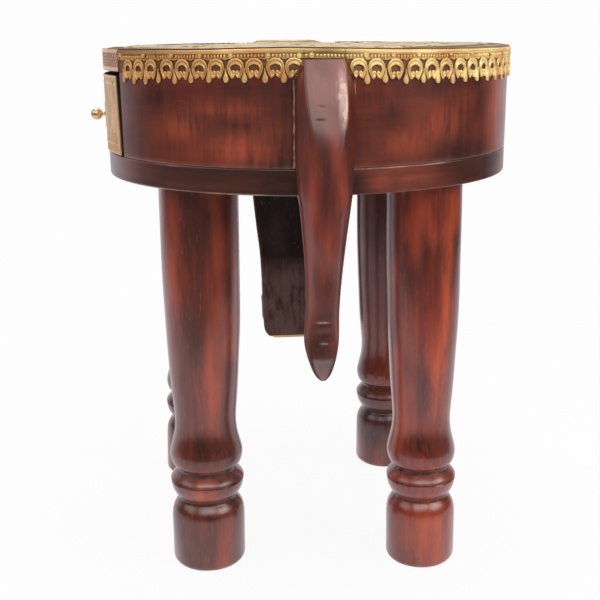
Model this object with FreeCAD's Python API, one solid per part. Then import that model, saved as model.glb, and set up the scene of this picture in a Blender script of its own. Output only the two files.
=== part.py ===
import FreeCAD, Part
import math
import os
from FreeCAD import Vector

os.makedirs("parts", exist_ok=True)

# Elephant stool: a round drum seat on four turned legs, with a drawer in one side of the drum,
# a carved tail behind and a carved head and trunk in front. Millimetres, +Z up, floor at zero.
# The elephant looks along +Y, its left side and the drawer are at -X. The pieces are drawn round
# the drum's axis. When they are written they move together, so that the origin lies on the floor
# under the middle of the whole stool.

# Drum
drum_radius = 150.0
leg_length = 290.4
base_thickness = 17.0
wall_height = 58.0
wall_thickness = 18.0
top_thickness = 14.0

# Clearances and cuts
fit_gap = 0.1
running_gap = 0.4
cut_over = 2.0

# Brass work on the drum
sheet_thickness = 0.6
strip_thickness = 1.1
strip_height = 21.0
roll_height = 3.8
roll_depth = 2.0
bead_row_height = 3.8
motif_pitch = 12.7
motif_thickness = 1.4
tack_radius = 0.9
tack_length = 7.0
tack_head_height = 0.5

# Legs
foot_radius = 26.8
foot_corner = 5.0
leg_screw_radius = 3.5
leg_screw_depth = 48.0
leg_screw_head_radius = 6.0
leg_screw_head_height = 3.6
washer_radius = 8.0
washer_thickness = 1.2

# Drawer
opening_half_angle = 27.0
front_side_gap = 2.4
front_top_narrowing = 2.6
front_level_gap = 2.6
front_back_inset = 28.0
box_side_thickness = 8.0
box_back_clearance = 26.0
box_side_height = 42.0
bottom_thickness = 4.0
bottom_groove_depth = 3.0
bottom_groove_height = 3.5
guide_thickness = 4.5
guide_height = 11.0
stop_thickness = 14.0
plate_thickness = 0.9
plate_inset = 0.4

# Knob
knob_radius = 4.35
knob_reach = 8.7
knob_drop = 4.2
knob_stem_radius = 1.7
knob_collar_radius = 2.5
knob_collar_height = 1.4
knob_nut_radius = 4.6
knob_washer_radius = 6.4
knob_nut_height = 3.2

# Tail
tail_width = 37.4
tail_drop = 198.0
tail_reach = 27.0
tail_offset = -3.0
tail_tip_offset = -5.6

# Head and trunk
head_width = 86.0
head_rise = 2.0
head_reach = 49.0
trunk_drop = 276.0
head_offset = -4.0
sheet_on_trunk = 0.9

# Ears, tusks and eyes
ear_thickness = 6.0
ear_width = 58.0
ear_height = 62.0
tusk_radius = 5.5
tusk_length = 34.0
tusk_sink = 10.0
eye_radius = 4.5

# Wood screws and dowels
screw_radius = 2.0
screw_head_radius = 4.0
screw_head_height = 2.6
base_screw_length = 36.0
top_screw_length = 30.0
carving_screw_length = 32.0
dowel_radius = 3.0
dowel_length = 28.0
pin_radius = 0.8
pin_length = 18.0
ear_nail_length = 12.0

# Levels
base_top = leg_length + base_thickness
wall_top = base_top + wall_height
top_face = wall_top + top_thickness
seat_height = top_face + sheet_thickness
wall_inner_radius = drum_radius - wall_thickness
skin_radius = drum_radius + fit_gap
strip_outer_radius = skin_radius + strip_thickness
roll_low = seat_height - roll_height
bead_row_low = roll_low - bead_row_height

# Places round the drum, in degrees from +X, and places of the legs as shares of the drum's radius
quarter = 90.0
half_turn = 180.0
wall_joint_angles = (-86.5, 2.0, 88.0)
screw_angles = (-147.0, -112.0, -68.0, -22.0, 22.0, 68.0, 112.0, 147.0)
strip_joint_angle = -134.4
lace_tack_angles = (-150.0, -138.0, -130.0, -118.0, -103.9, -77.0, -57.5, -40.3, -20.0, 0.0, 20.0, 40.0,
                    58.0, 68.0, 118.0, 134.0, 148.0)
leg_foot_shares = {
    "leg_hind_left": (-0.565, -0.519),
    "leg_hind_right": (0.513, -0.607),
    "leg_fore_left": (-0.653, 0.563),
    "leg_fore_right": (0.527, 0.573),
}
leg_top_shares = {
    "leg_hind_left": (-0.553, -0.507),
    "leg_hind_right": (0.498, -0.592),
    "leg_fore_left": (-0.584, 0.510),
    "leg_fore_right": (0.524, 0.563),
}
leg_girth_shares = {
    "leg_hind_left": 1.02,
    "leg_hind_right": 0.96,
    "leg_fore_left": 1.0,
    "leg_fore_right": 0.98,
}
plank_joint_shares = (0.0, 0.753)
dowel_place_shares = (-0.55, 0.0, 0.55)

x_axis = Vector(1, 0, 0)
y_axis = Vector(0, 1, 0)
z_axis = Vector(0, 0, 1)
centre = Vector(0, 0, 0)

pieces = {}


def keep(name, shape):
    pieces[name] = shape


# Every piece goes to its own file, moved so that the whole stool stands over the origin
def write_all():
    whole = Part.makeCompound(list(pieces.values())).optimalBoundingBox(False)
    move = Vector(-whole.Center.x, -whole.Center.y, -whole.ZMin)
    for name, shape in pieces.items():
        shape = shape.copy()
        shape.translate(move)
        print(f"{name}: {len(shape.Solids)} solid(s), {shape.Volume:.0f} mm3, valid {shape.isValid()}")
        shape.exportStep(f"parts/{name}.step")
    print(f"drum axis at {move}, whole stool {whole.XLength:.2f} {whole.YLength:.2f} {whole.ZLength:.2f}")


def box(low, high):
    size = high - low
    return Part.makeBox(size.x, size.y, size.z, low)


def disc(radius, low, high):
    return Part.makeCylinder(radius, high - low, Vector(0, 0, low))


def ring(inner, outer, low, high):
    return disc(outer, low, high).cut(disc(inner, low - cut_over, high + cut_over))


def at_angle(shape, angle):
    shape = shape.copy()
    shape.rotate(centre, z_axis, angle)
    return shape


def sector(inner, outer, low, high, start, end):
    corners = [Vector(radius, 0, level) for radius, level in (
        (inner, low), (outer, low), (outer, high), (inner, high), (inner, low))]
    face = Part.Face(Part.makePolygon(corners))
    return at_angle(face.revolve(centre, z_axis, end - start), start)


def rod(start, end, radius):
    run = end - start
    return Part.makeCylinder(radius, run.Length, start, run)


def joined(shapes):
    return shapes[0].multiFuse(shapes[1:]).removeSplitter()


def around(radius, angle, level):
    turn = math.radians(angle)
    return Vector(radius * math.cos(turn), radius * math.sin(turn), level)


# Countersunk wood screw with its head flush at start, and the hole that it needs
def wood_screw(start, direction, length, spare=0.0):
    run = Vector(direction).normalize()
    shank = Part.makeCylinder(screw_radius + spare, length + spare, start, run)
    head = Part.makeCone(
        screw_head_radius + spare, screw_radius + spare, screw_head_height, start, run)
    return joined([shank, head])


def screw_set(places, direction, length, spare=0.0):
    return [wood_screw(place, direction, length, spare) for place in places]


# Base board: three planks edge to edge, held by dowels, with the leg screws' holes
def leg_top_places():
    return [Vector(x * drum_radius, y * drum_radius, leg_length) for x, y in leg_top_shares.values()]


def base_screw_places():
    return [around(drum_radius - wall_thickness / 2, angle, leg_length) for angle in screw_angles]


def dowel_rods(spare=0.0):
    level = leg_length + base_thickness / 2
    rods = []
    for joint in plank_joint_shares:
        x = joint * drum_radius
        span = math.sqrt(drum_radius ** 2 - x ** 2)
        reach = dowel_length / 2 + spare
        for share in dowel_place_shares:
            y = share * span
            rods.append(rod(Vector(x - reach, y, level), Vector(x + reach, y, level), dowel_radius + spare))
    return rods


def base_planks():
    board = disc(drum_radius, leg_length, base_top)
    holes = dowel_rods(fit_gap) + screw_set(base_screw_places(), z_axis, base_screw_length, fit_gap)
    for place in leg_top_places():
        low = place - Vector(0, 0, cut_over)
        high = place + Vector(0, 0, base_thickness + cut_over)
        holes.append(rod(low, high, leg_screw_radius + fit_gap))
    board = board.cut(Part.makeCompound(holes))
    edges = [-1.0, *plank_joint_shares, 1.0]
    for name, start, end in zip(("left", "middle", "right"), edges, edges[1:]):
        low = Vector(start * drum_radius, -drum_radius, leg_length)
        high = Vector(end * drum_radius, drum_radius, base_top)
        keep(f"base_plank_{name}", board.common(box(low, high)))
    keep("base_dowels", Part.makeCompound(dowel_rods()))
    keep("base_screws", Part.makeCompound(screw_set(base_screw_places(), z_axis, base_screw_length)))


# Drum wall: four bent blocks butted end to end, open at the drawer between two parallel faces
opening_half_width = drum_radius * math.sin(math.radians(opening_half_angle))


def carving_screw_places():
    inner = wall_inner_radius
    middle = base_top + wall_height / 2
    step = wall_height / 5
    tail_at = [Vector(tail_offset, -inner, middle + side * step) for side in (-1, 1)]
    head_at = [Vector(head_offset + side * head_width / 4, inner, middle) for side in (-1, 1)]
    return [(place, -y_axis) for place in tail_at] + [(place, y_axis) for place in head_at]


def carving_screws(spare=0.0):
    return [wood_screw(place - way * screw_head_height, way, carving_screw_length, spare)
            for place, way in carving_screw_places()]


def top_screw_places():
    return [around(drum_radius - wall_thickness / 2, angle, top_face) for angle in screw_angles]


def drum_wall():
    wall = ring(wall_inner_radius, drum_radius, base_top, wall_top)
    doorway = box(Vector(-drum_radius - cut_over, -opening_half_width, base_top - cut_over),
                  Vector(0, opening_half_width, wall_top + cut_over))
    holes = screw_set(base_screw_places(), z_axis, base_screw_length, fit_gap)
    holes += screw_set(top_screw_places(), -z_axis, top_screw_length, fit_gap)
    holes += carving_screws(fit_gap) + ear_nails(fit_gap)
    wall = wall.cut(Part.makeCompound([doorway] + holes))
    ends = (-half_turn, *wall_joint_angles, half_turn)
    names = ("hind_left", "hind_right", "fore_right", "fore_left")
    for name, start, end in zip(names, ends, ends[1:]):
        block = sector(wall_inner_radius - cut_over, drum_radius + cut_over, base_top, wall_top, start, end)
        keep(f"wall_{name}", wall.common(block))


# Top board with its screws, under the brass sheet
def top_board():
    board = disc(drum_radius, wall_top, top_face)
    holes = screw_set(top_screw_places(), -z_axis, top_screw_length, fit_gap)
    holes += seat_tacks(fit_gap) + lace_tacks(fit_gap)
    keep("top_board", board.cut(Part.makeCompound(holes)))
    keep("top_screws", Part.makeCompound(screw_set(top_screw_places(), -z_axis, top_screw_length)))


# Leg outline from the floor up: shares of the leg's length against shares of the foot's radius
shoulder_shares = ((0.130, 1.0), (0.158, 0.945), (0.177, 0.817))
ring_shares = ((0.188, 0.817), (0.226, 0.985), (0.259, 0.791))
shaft_shares = (
    (0.264, 0.791), (0.277, 0.918), (0.307, 0.985), (0.339, 0.908), (0.376, 0.836), (0.400, 0.828),
    (0.427, 0.847), (0.489, 0.903), (0.568, 0.948), (0.637, 0.981), (0.723, 1.004), (0.837, 1.015),
    (0.93, 1.018), (1.0, 1.019),
)


def leg_outline(girth, spare):
    def at(share):
        return Vector(share[1] * girth, 0, share[0] * leg_length)

    bottom = -spare
    corner = foot_corner
    bend = corner * (1 - math.sqrt(0.5))
    side = Vector(girth, 0, corner)
    toe = Vector(girth - corner, 0, 0)
    toe_low = Vector(girth - corner, 0, bottom)
    shaft = Part.BSplineCurve()
    shaft.interpolate([at(share) for share in shaft_shares[:-1]])
    top = at(shaft_shares[-1])
    top_high = top + Vector(0, 0, spare)
    edges = [
        Part.makeLine(Vector(0, 0, bottom), toe_low),
        Part.makeLine(toe_low, toe),
        Part.Arc(toe, Vector(girth - bend, 0, bend), side).toShape(),
        Part.makeLine(side, at(shoulder_shares[0])),
        Part.Arc(*[at(share) for share in shoulder_shares]).toShape(),
        Part.makeLine(at(shoulder_shares[-1]), at(ring_shares[0])),
        Part.Arc(*[at(share) for share in ring_shares]).toShape(),
        Part.makeLine(at(ring_shares[-1]), at(shaft_shares[0])),
        shaft.toShape(),
        Part.makeLine(at(shaft_shares[-2]), top),
        Part.makeLine(top, top_high),
        Part.makeLine(top_high, Vector(0, 0, top_high.z)),
        Part.makeLine(Vector(0, 0, top_high.z), Vector(0, 0, bottom)),
    ]
    return Part.Face(Part.Wire(edges))


# Turned leg, set with a small lean of its own and cut level at the floor and under the base
def leg(name):
    spare = foot_corner / 2
    solid = leg_outline(foot_radius * leg_girth_shares[name], spare).revolve(centre, z_axis, 2 * half_turn)
    foot = Vector(*[share * drum_radius for share in leg_foot_shares[name]], 0)
    head = Vector(*[share * drum_radius for share in leg_top_shares[name]], leg_length)
    solid.Placement = FreeCAD.Placement(foot, FreeCAD.Rotation(z_axis, head - foot))
    room = 2 * drum_radius
    slab = box(Vector(-room, -room, 0), Vector(room, room, leg_length))
    bore = rod(head + Vector(0, 0, cut_over), head - Vector(0, 0, leg_screw_depth + fit_gap),
               leg_screw_radius + fit_gap)
    return solid.common(slab).cut(bore)


def legs():
    for name in leg_foot_shares:
        keep(name, leg(name))
    screws, washers = [], []
    for place in leg_top_places():
        seat = Vector(place.x, place.y, base_top)
        under_head = seat + Vector(0, 0, washer_thickness)
        head_top = under_head + Vector(0, 0, leg_screw_head_height)
        shank = rod(place - Vector(0, 0, leg_screw_depth), head_top, leg_screw_radius)
        screws.append(joined([shank, rod(under_head, head_top, leg_screw_head_radius)]))
        hole = rod(seat - Vector(0, 0, cut_over), head_top, leg_screw_radius + fit_gap)
        washers.append(rod(seat, under_head, washer_radius).cut(hole))
    keep("leg_screws", Part.makeCompound(screws))
    keep("leg_washers", Part.makeCompound(washers))


# Closed carving outline at one level: a back, two sides and a narrower front face
def carving_section(level, middle, half_width, face_half_width, back, side, front):
    corners = [
        Vector(middle - half_width, back, level), Vector(middle - half_width, side, level),
        Vector(middle - face_half_width, front, level), Vector(middle + face_half_width, front, level),
        Vector(middle + half_width, side, level), Vector(middle + half_width, back, level),
    ]
    return Part.makePolygon(corners + corners[:1])


# Tail stations, each as shares: drop, half width, face half width, back, side and outer reach
tail_station_shares = (
    (0.000, 0.70, 0.66, -0.40, 0.00, 0.12), (0.044, 0.80, 0.70, -0.40, 0.04, 0.30),
    (0.090, 0.98, 0.68, -0.40, 0.10, 0.47), (0.150, 1.00, 0.62, -0.40, 0.18, 0.66),
    (0.220, 1.00, 0.54, -0.40, 0.26, 0.82), (0.310, 0.99, 0.48, -0.40, 0.36, 0.94),
    (0.400, 0.93, 0.46, -0.40, 0.44, 1.00), (0.450, 0.86, 0.44, 0.02, 0.46, 0.98),
    (0.540, 0.76, 0.40, 0.08, 0.44, 0.90), (0.660, 0.64, 0.34, 0.12, 0.42, 0.76),
    (0.780, 0.575, 0.32, 0.12, 0.40, 0.68), (0.870, 0.575, 0.32, 0.18, 0.44, 0.72),
    (0.920, 0.49, 0.26, 0.34, 0.58, 0.82), (0.965, 0.32, 0.16, 0.56, 0.74, 0.92),
    (1.000, 0.10, 0.05, 0.80, 0.88, 0.96),
)
tail_top = roll_low - bead_row_height / 2


def tail():
    sections = []
    for drop, half, face, back, side, front in tail_station_shares:
        middle = tail_offset + (tail_tip_offset - tail_offset) * drop
        places = [-(drum_radius + share * tail_reach) for share in (back, side, front)]
        sections.append(carving_section(
            tail_top - drop * tail_drop, middle, half * tail_width / 2, face * tail_width / 2, *places))
    solid = Part.makeLoft(sections, True, False)
    drum = disc(skin_radius, leg_length - fit_gap, seat_height + cut_over)
    solid = solid.cut(Part.makeCompound([drum] + carving_screws(fit_gap)))
    keep("tail", solid)


# Head and trunk stations as shares: drop, half width, face half width, back, side and front reach
trunk_station_shares = (
    (0.000, 0.62, 0.46, -0.24, 0.10, 0.36), (0.012, 0.80, 0.56, -0.24, 0.22, 0.58),
    (0.060, 0.92, 0.60, -0.24, 0.36, 0.80), (0.150, 1.00, 0.60, -0.24, 0.44, 0.96),
    (0.230, 1.00, 0.56, -0.24, 0.46, 1.00), (0.300, 0.91, 0.54, -0.24, 0.44, 0.90),
    (0.345, 0.84, 0.54, 0.02, 0.42, 0.82), (0.420, 0.81, 0.54, 0.04, 0.40, 0.76),
    (0.500, 0.775, 0.53, 0.08, 0.40, 0.72), (0.625, 0.70, 0.48, 0.14, 0.42, 0.69),
    (0.710, 0.64, 0.44, 0.17, 0.42, 0.66), (0.795, 0.615, 0.43, 0.14, 0.38, 0.62),
    (0.860, 0.61, 0.43, 0.06, 0.30, 0.54), (0.925, 0.60, 0.42, -0.06, 0.18, 0.42),
    (0.970, 0.585, 0.40, -0.14, 0.08, 0.32), (0.992, 0.50, 0.34, -0.14, 0.04, 0.24),
    (1.000, 0.37, 0.26, -0.10, 0.02, 0.16),
)
head_top = seat_height + head_rise


def trunk_loft(spare=0.0):
    sections = []
    for drop, half, face, back, side, front in trunk_station_shares:
        places = [drum_radius + share * head_reach for share in (back, side, front)]
        places[0] -= spare
        places[2] += spare
        sections.append(carving_section(
            head_top - drop * (trunk_drop + head_rise), head_offset,
            half * head_width / 2 + spare, face * head_width / 2 + spare, *places))
    return Part.makeLoft(sections, True, False)


def head_and_trunk():
    drum = disc(skin_radius, leg_length - fit_gap, head_top + cut_over)
    cuts = [drum] + carving_screws(fit_gap) + tusk_pegs(fit_gap) + eye_studs(fit_gap)
    solid = trunk_loft().cut(Part.makeCompound(cuts))
    keep("head_and_trunk", solid)


# Brass on the trunk: a long sheet down its face and a cap bent round its tip
trunk_cap_top_share = 0.87
trunk_sheet_top_share = 0.05


def trunk_brass():
    skin = trunk_loft(sheet_on_trunk).cut(trunk_loft(fit_gap))
    far = drum_radius + head_reach + cut_over
    cap_top = head_top - trunk_cap_top_share * trunk_drop
    sheet_low = cap_top + running_gap
    sheet_high = head_top - trunk_sheet_top_share * trunk_drop
    half = head_width / 4
    sheet_room = box(Vector(head_offset - half, drum_radius + head_reach / 3, sheet_low),
                     Vector(head_offset + half, far, sheet_high))
    cap_room = box(Vector(head_offset - head_width, drum_radius + head_reach / 6, 0),
                   Vector(head_offset + head_width, far, cap_top))
    keep("trunk_sheet", skin.common(sheet_room))
    keep("trunk_cap", skin.common(cap_room))


# Ear outline as shares of its width, away from the head, and of its height, downwards
ear_outline_shares = (
    (0.0, 0.10), (0.30, 0.0), (0.72, 0.04), (1.0, 0.28),
    (0.98, 0.58), (0.72, 0.86), (0.42, 1.0), (0.10, 0.74),
)
ear_nail_shares = ((0.35, 0.3), (0.45, 0.7))


def ear(side):
    root = head_offset + side * (head_width / 2 + running_gap)
    level = wall_top - running_gap - (strip_height - top_thickness)
    near = wall_inner_radius / 2
    corners = []
    for across, down in ear_outline_shares:
        corners.append(Vector(root + side * across * ear_width, near, level - down * ear_height))
    curve = Part.BSplineCurve()
    curve.interpolate(corners, PeriodicFlag=True)
    blank = Part.Face(Part.Wire(curve.toShape())).extrude(Vector(0, drum_radius, 0))
    leaf = ring(skin_radius, skin_radius + ear_thickness, leg_length, seat_height).common(blank)
    return leaf.cut(Part.makeCompound(ear_nails(fit_gap))).cut(trunk_loft(running_gap))


def ear_nails(spare=0.0):
    nails = []
    for side in (-1, 1):
        for across, down in ear_nail_shares:
            x = head_offset + side * (head_width / 2 + across * ear_width)
            level = wall_top - (strip_height - top_thickness) - down * ear_height
            way = Vector(x, math.sqrt(drum_radius ** 2 - x ** 2), 0).normalize()
            face = way * (skin_radius + ear_thickness) + Vector(0, 0, level)
            nails.append(rod(face - way * ear_nail_length, face, pin_radius + spare))
    return nails


# Tusks: tapered pegs let into the cheeks
tusk_place_shares = (0.33, 0.66)
tusk_way_shares = (0.12, 0.42, -0.9)


def tusk_pegs(spare=0.0):
    across, ahead = tusk_place_shares
    lean, forward, down = tusk_way_shares
    pegs = []
    for side in (-1, 1):
        root = Vector(head_offset + side * across * head_width, drum_radius + ahead * head_reach, base_top)
        way = Vector(side * lean, forward, down).normalize()
        shoulder = root + way * tusk_sink
        peg = rod(root - way * (tusk_sink + spare), shoulder, tusk_radius + spare)
        taper = Part.makeCone(
            tusk_radius + spare, tusk_radius / 3 + spare, tusk_length - tusk_sink, shoulder, way)
        pegs.append(joined([peg, taper]))
    return pegs


# Eyes: domed brass studs pressed into the sides of the head
eye_place_shares = (0.3, 0.7)


def eye_studs(spare=0.0):
    ahead, up = eye_place_shares
    studs = []
    for side in (-1, 1):
        inward = -x_axis * side
        face = Vector(head_offset + side * head_width / 2, drum_radius + ahead * head_reach,
                      base_top + up * wall_height)
        middle = face + inward * eye_radius / 2
        dome = Part.makeSphere(eye_radius + spare, middle)
        stem = rod(middle, face + inward * (pin_length / 2 + spare), pin_radius + spare)
        studs.append(joined([dome, stem]))
    return studs


# Seat sheet of brass and the nails round its edge
seat_tack_count = 24


def seat_tacks(spare=0.0):
    tacks = []
    reach = drum_radius - 2 * roll_height
    for index in range(seat_tack_count):
        place = around(reach, index * 2 * half_turn / seat_tack_count, seat_height)
        tacks.append(rod(place - Vector(0, 0, tack_length), place, tack_radius + spare))
    return tacks


def seat_sheet():
    sheet = disc(drum_radius, top_face, seat_height)
    keep("seat_sheet", sheet.cut(Part.makeCompound(seat_tacks(fit_gap))))
    keep("seat_tacks", Part.makeCompound(seat_tacks()))


# Pressed strip round the rim: a rolled edge, a bead row and a fringe of horseshoes and drops
def rolled_band(low, start, end):
    band = sector(skin_radius, strip_outer_radius, low, roll_low, start, end)
    bottom = Vector(skin_radius, 0, roll_low)
    crest = Vector(skin_radius + roll_depth, 0, roll_low + roll_height / 2)
    top = Vector(skin_radius, 0, seat_height)
    outline = Part.Wire([Part.Arc(bottom, crest, top).toShape(), Part.makeLine(top, bottom)])
    roll = Part.Face(outline).revolve(centre, z_axis, end - start)
    return [band, at_angle(roll, start)]


horseshoe_hole_share = 0.52
horseshoe_skirt_share = 0.8
horseshoe_height_share = 0.86
pendant_ball_share = 0.16
tail_band_share = 0.7
tail_shoulder_share = 0.15


def horseshoe(width, height):
    outer = width / 2
    inner = outer * horseshoe_hole_share
    skirt_half = outer * horseshoe_skirt_share
    back = skin_radius + fit_gap
    crown = bead_row_low - outer
    centre_at = Vector(back, 0, crown)
    foot = bead_row_low - height
    body = Part.makeCylinder(outer, motif_thickness, centre_at, x_axis)
    skirt = box(Vector(back, -skirt_half, foot), Vector(back + motif_thickness, skirt_half, crown))
    hole = Part.makeCylinder(inner, motif_thickness + 2 * cut_over, centre_at - x_axis * cut_over, x_axis)
    neck = box(Vector(back - cut_over, -inner / 2, foot - cut_over),
               Vector(back + motif_thickness + cut_over, inner / 2, crown))
    return joined([body, skirt]).cut(Part.makeCompound([hole, neck]))


def drop_pendant(width):
    back = skin_radius + fit_gap
    foot = seat_height - strip_height
    radius = width * pendant_ball_share
    ball = Part.makeCylinder(radius, motif_thickness, Vector(back, 0, foot + radius), x_axis)
    stem = box(Vector(back, -radius / 2, foot + radius),
               Vector(back + motif_thickness, radius / 2, bead_row_low))
    return joined([ball, stem])


def lace_strip(start, end, fringe_start, fringe_end):
    pitch = math.degrees(motif_pitch / drum_radius)
    room = bead_row_low - (seat_height - strip_height)
    count = int((fringe_end - fringe_start) / pitch)
    first = (fringe_start + fringe_end - (count - 1) * pitch) / 2
    parts = rolled_band(bead_row_low - fit_gap, start, end)
    for index in range(count):
        angle = first + index * pitch
        parts.append(at_angle(horseshoe(motif_pitch, room * horseshoe_height_share), angle))
        if index < count - 1:
            parts.append(at_angle(drop_pendant(motif_pitch), angle + pitch / 2))
    return joined(parts)


def half_span(reach):
    return math.degrees(math.asin(reach / drum_radius))


def rim_strips():
    door = half_turn - opening_half_angle
    tail_reach_across = tail_width * tail_band_share / 2 + running_gap
    tail_left = -quarter - half_span(tail_reach_across - tail_offset)
    tail_right = -quarter + half_span(tail_reach_across + tail_offset)
    head_right = quarter - half_span(head_width / 2 + head_offset + running_gap)
    head_left = quarter + half_span(head_width / 2 - head_offset + running_gap)
    shoulder = half_span(tail_width * tail_shoulder_share)
    gap = math.degrees(running_gap / drum_radius)
    runs = {
        "lace_by_drawer": (-door + gap, strip_joint_angle - gap, -door + gap, strip_joint_angle - gap),
        "lace_hind_left": (strip_joint_angle, tail_left, strip_joint_angle, tail_left - shoulder),
        "lace_right": (tail_right, head_right, tail_right + shoulder, head_right),
        "lace_fore_left": (head_left, door - gap, head_left, door - gap),
    }
    for name, run in runs.items():
        keep(name, lace_strip(*run).cut(Part.makeCompound(lace_tacks(fit_gap))))
    keep("lace_over_tail", joined(rolled_band(tail_top + running_gap, tail_left + gap, tail_right - gap)))
    header = sector(skin_radius, strip_outer_radius, wall_top, seat_height, door, 2 * half_turn - door)
    keep("drawer_header_strip", header)
    keep("lace_tacks", Part.makeCompound(lace_tacks()))


def lace_tacks(spare=0.0):
    level = bead_row_low + bead_row_height / 2
    tacks = []
    for angle in lace_tack_angles:
        face = around(strip_outer_radius + tack_head_height, angle, level)
        way = around(1, angle, 0)
        tacks.append(rod(face - way * tack_length, face, tack_radius + spare))
    return tacks


# Drawer: curved front, two sides, back and bottom, on the base between two guides
front_low = base_top + front_level_gap
front_high = wall_top - front_level_gap
front_half_width = opening_half_width - front_side_gap
front_inner_x = -(drum_radius - front_back_inset)
box_half_width = front_half_width - front_top_narrowing - running_gap
box_end_x = math.sqrt(wall_inner_radius ** 2 - box_half_width ** 2) - box_back_clearance
box_low = base_top + running_gap


def front_prism(inset, near, far):
    low, high = front_low + inset, front_high - inset
    wide = front_half_width - inset
    narrow = wide - front_top_narrowing
    corners = [Vector(near, y, level) for y, level in (
        (-wide, low), (wide, low), (narrow, high), (-narrow, high), (-wide, low))]
    return Part.Face(Part.makePolygon(corners)).extrude(Vector(far - near, 0, 0))


def knob_level():
    return (front_low + front_high) / 2 - knob_drop


def bottom_panel(spare=0.0):
    reach = box_half_width - box_side_thickness + bottom_groove_depth - fit_gap + spare
    low = box_low + bottom_groove_height - spare
    return box(Vector(front_inner_x - bottom_groove_depth + fit_gap - spare, -reach, low),
               Vector(box_end_x + spare, reach, low + bottom_thickness + 2 * spare))


pin_level_shares = (0.45, 0.8)
plate_tack_shares = (-1.0, -0.5, 0.0, 0.5, 1.0)


def drawer_pins(spare=0.0):
    pins = []
    for side in (-1, 1):
        outer = side * box_half_width
        x = box_end_x - box_side_thickness / 2
        for share in pin_level_shares:
            level = box_low + share * box_side_height
            pins.append(rod(Vector(x, outer, level), Vector(x, outer - side * pin_length, level),
                            pin_radius + spare))
    return pins


def drawer_box():
    groove = bottom_panel(fit_gap)
    pins = drawer_pins(fit_gap)
    reach = drum_radius + cut_over
    front = front_prism(0, -reach, front_inner_x).common(disc(drum_radius, base_top, wall_top))
    shank = rod(Vector(-reach, 0, knob_level()), Vector(front_inner_x + cut_over, 0, knob_level()),
                knob_stem_radius + fit_gap)
    keep("drawer_front", front.cut(Part.makeCompound([groove, shank] + plate_tacks(fit_gap))))
    for name, side in (("hind", -1), ("fore", 1)):
        low, high = sorted((side * box_half_width, side * (box_half_width - box_side_thickness)))
        board = box(Vector(front_inner_x, low, box_low), Vector(box_end_x, high, box_low + box_side_height))
        keep(f"drawer_side_{name}", board.cut(Part.makeCompound([groove] + pins)))
    inner = box_half_width - box_side_thickness
    panel_top = box_low + bottom_groove_height + bottom_thickness
    back = box(Vector(box_end_x - box_side_thickness, -inner, panel_top + fit_gap),
               Vector(box_end_x, inner, box_low + box_side_height))
    keep("drawer_back", back.cut(Part.makeCompound(pins)))
    keep("drawer_bottom", bottom_panel())
    keep("drawer_pins", Part.makeCompound(drawer_pins()))


# Guides beside the drawer and the stop behind it, glued on the base
def drawer_guides():
    inner = box_half_width + running_gap
    for name, side in (("hind", -1), ("fore", 1)):
        low, high = sorted((side * inner, side * (inner + guide_thickness)))
        start = front_inner_x + 2 * running_gap
        keep(f"drawer_guide_{name}",
              box(Vector(start, low, base_top), Vector(box_end_x, high, base_top + guide_height)))
    start = box_end_x + running_gap
    keep("drawer_stop", box(Vector(start, -inner / 2, base_top),
                             Vector(start + stop_thickness, inner / 2, base_top + guide_height)))


# Brass plate on the drawer's front, its tacks and its knob
def plate_tacks(spare=0.0):
    tacks = []
    margin = front_half_width / 12
    for level in (front_low + margin, front_high - margin):
        for share in plate_tack_shares:
            y = share * (front_half_width - front_top_narrowing - margin)
            way = Vector(-math.sqrt(drum_radius ** 2 - y ** 2), y, 0).normalize()
            face = way * (skin_radius + plate_thickness + tack_head_height) + Vector(0, 0, level)
            tacks.append(rod(face - way * tack_length, face, tack_radius + spare))
    return tacks


def drawer_plate():
    shell = ring(skin_radius, skin_radius + plate_thickness, front_low, front_high)
    plate = shell.common(front_prism(plate_inset, -drum_radius - cut_over, front_inner_x))
    hole = rod(Vector(-drum_radius - knob_reach, 0, knob_level()), Vector(front_inner_x, 0, knob_level()),
               knob_stem_radius + fit_gap)
    keep("drawer_plate", plate.cut(Part.makeCompound([hole] + plate_tacks(fit_gap))))
    keep("plate_tacks", Part.makeCompound(plate_tacks()))


def drawer_knob():
    level = knob_level()
    ball_at = Vector(-drum_radius - knob_reach, 0, level)
    shank_end = Vector(front_inner_x + knob_nut_height + washer_thickness, 0, level)
    plate_face = Vector(-skin_radius - plate_thickness - fit_gap, 0, level)
    collar = rod(plate_face, plate_face - x_axis * knob_collar_height, knob_collar_radius)
    stem = rod(ball_at, shank_end, knob_stem_radius)
    ball = Part.makeSphere(knob_radius, ball_at)
    keep("drawer_knob", joined([stem, collar, ball]))
    hole = rod(ball_at, shank_end + x_axis * cut_over, knob_stem_radius + fit_gap)
    seat = Vector(front_inner_x, 0, level)
    washer_end = seat + x_axis * washer_thickness
    keep("knob_washer", rod(seat, washer_end, knob_washer_radius).cut(hole))
    corners = []
    for step in range(7):
        turn = 2 * math.pi * step / 6
        across, up = knob_nut_radius * math.cos(turn), knob_nut_radius * math.sin(turn)
        corners.append(washer_end + Vector(0, across, up))
    nut = Part.Face(Part.makePolygon(corners)).extrude(x_axis * knob_nut_height)
    keep("knob_nut", nut.cut(hole))


base_planks()
drum_wall()
top_board()
legs()
tail()
head_and_trunk()
trunk_brass()
for ear_name, ear_side in (("left", -1), ("right", 1)):
    keep(f"ear_{ear_name}", ear(ear_side))
keep("ear_nails", Part.makeCompound(ear_nails()))
for tusk_name, peg in zip(("left", "right"), tusk_pegs()):
    keep(f"tusk_{tusk_name}", peg)
keep("eye_studs", Part.makeCompound(eye_studs()))
keep("carving_screws", Part.makeCompound(carving_screws()))
seat_sheet()
rim_strips()
drawer_box()
drawer_guides()
drawer_plate()
drawer_knob()
write_all()
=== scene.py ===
import math

import bmesh
import bpy
import numpy as np
from mathutils import Matrix, Vector


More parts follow.
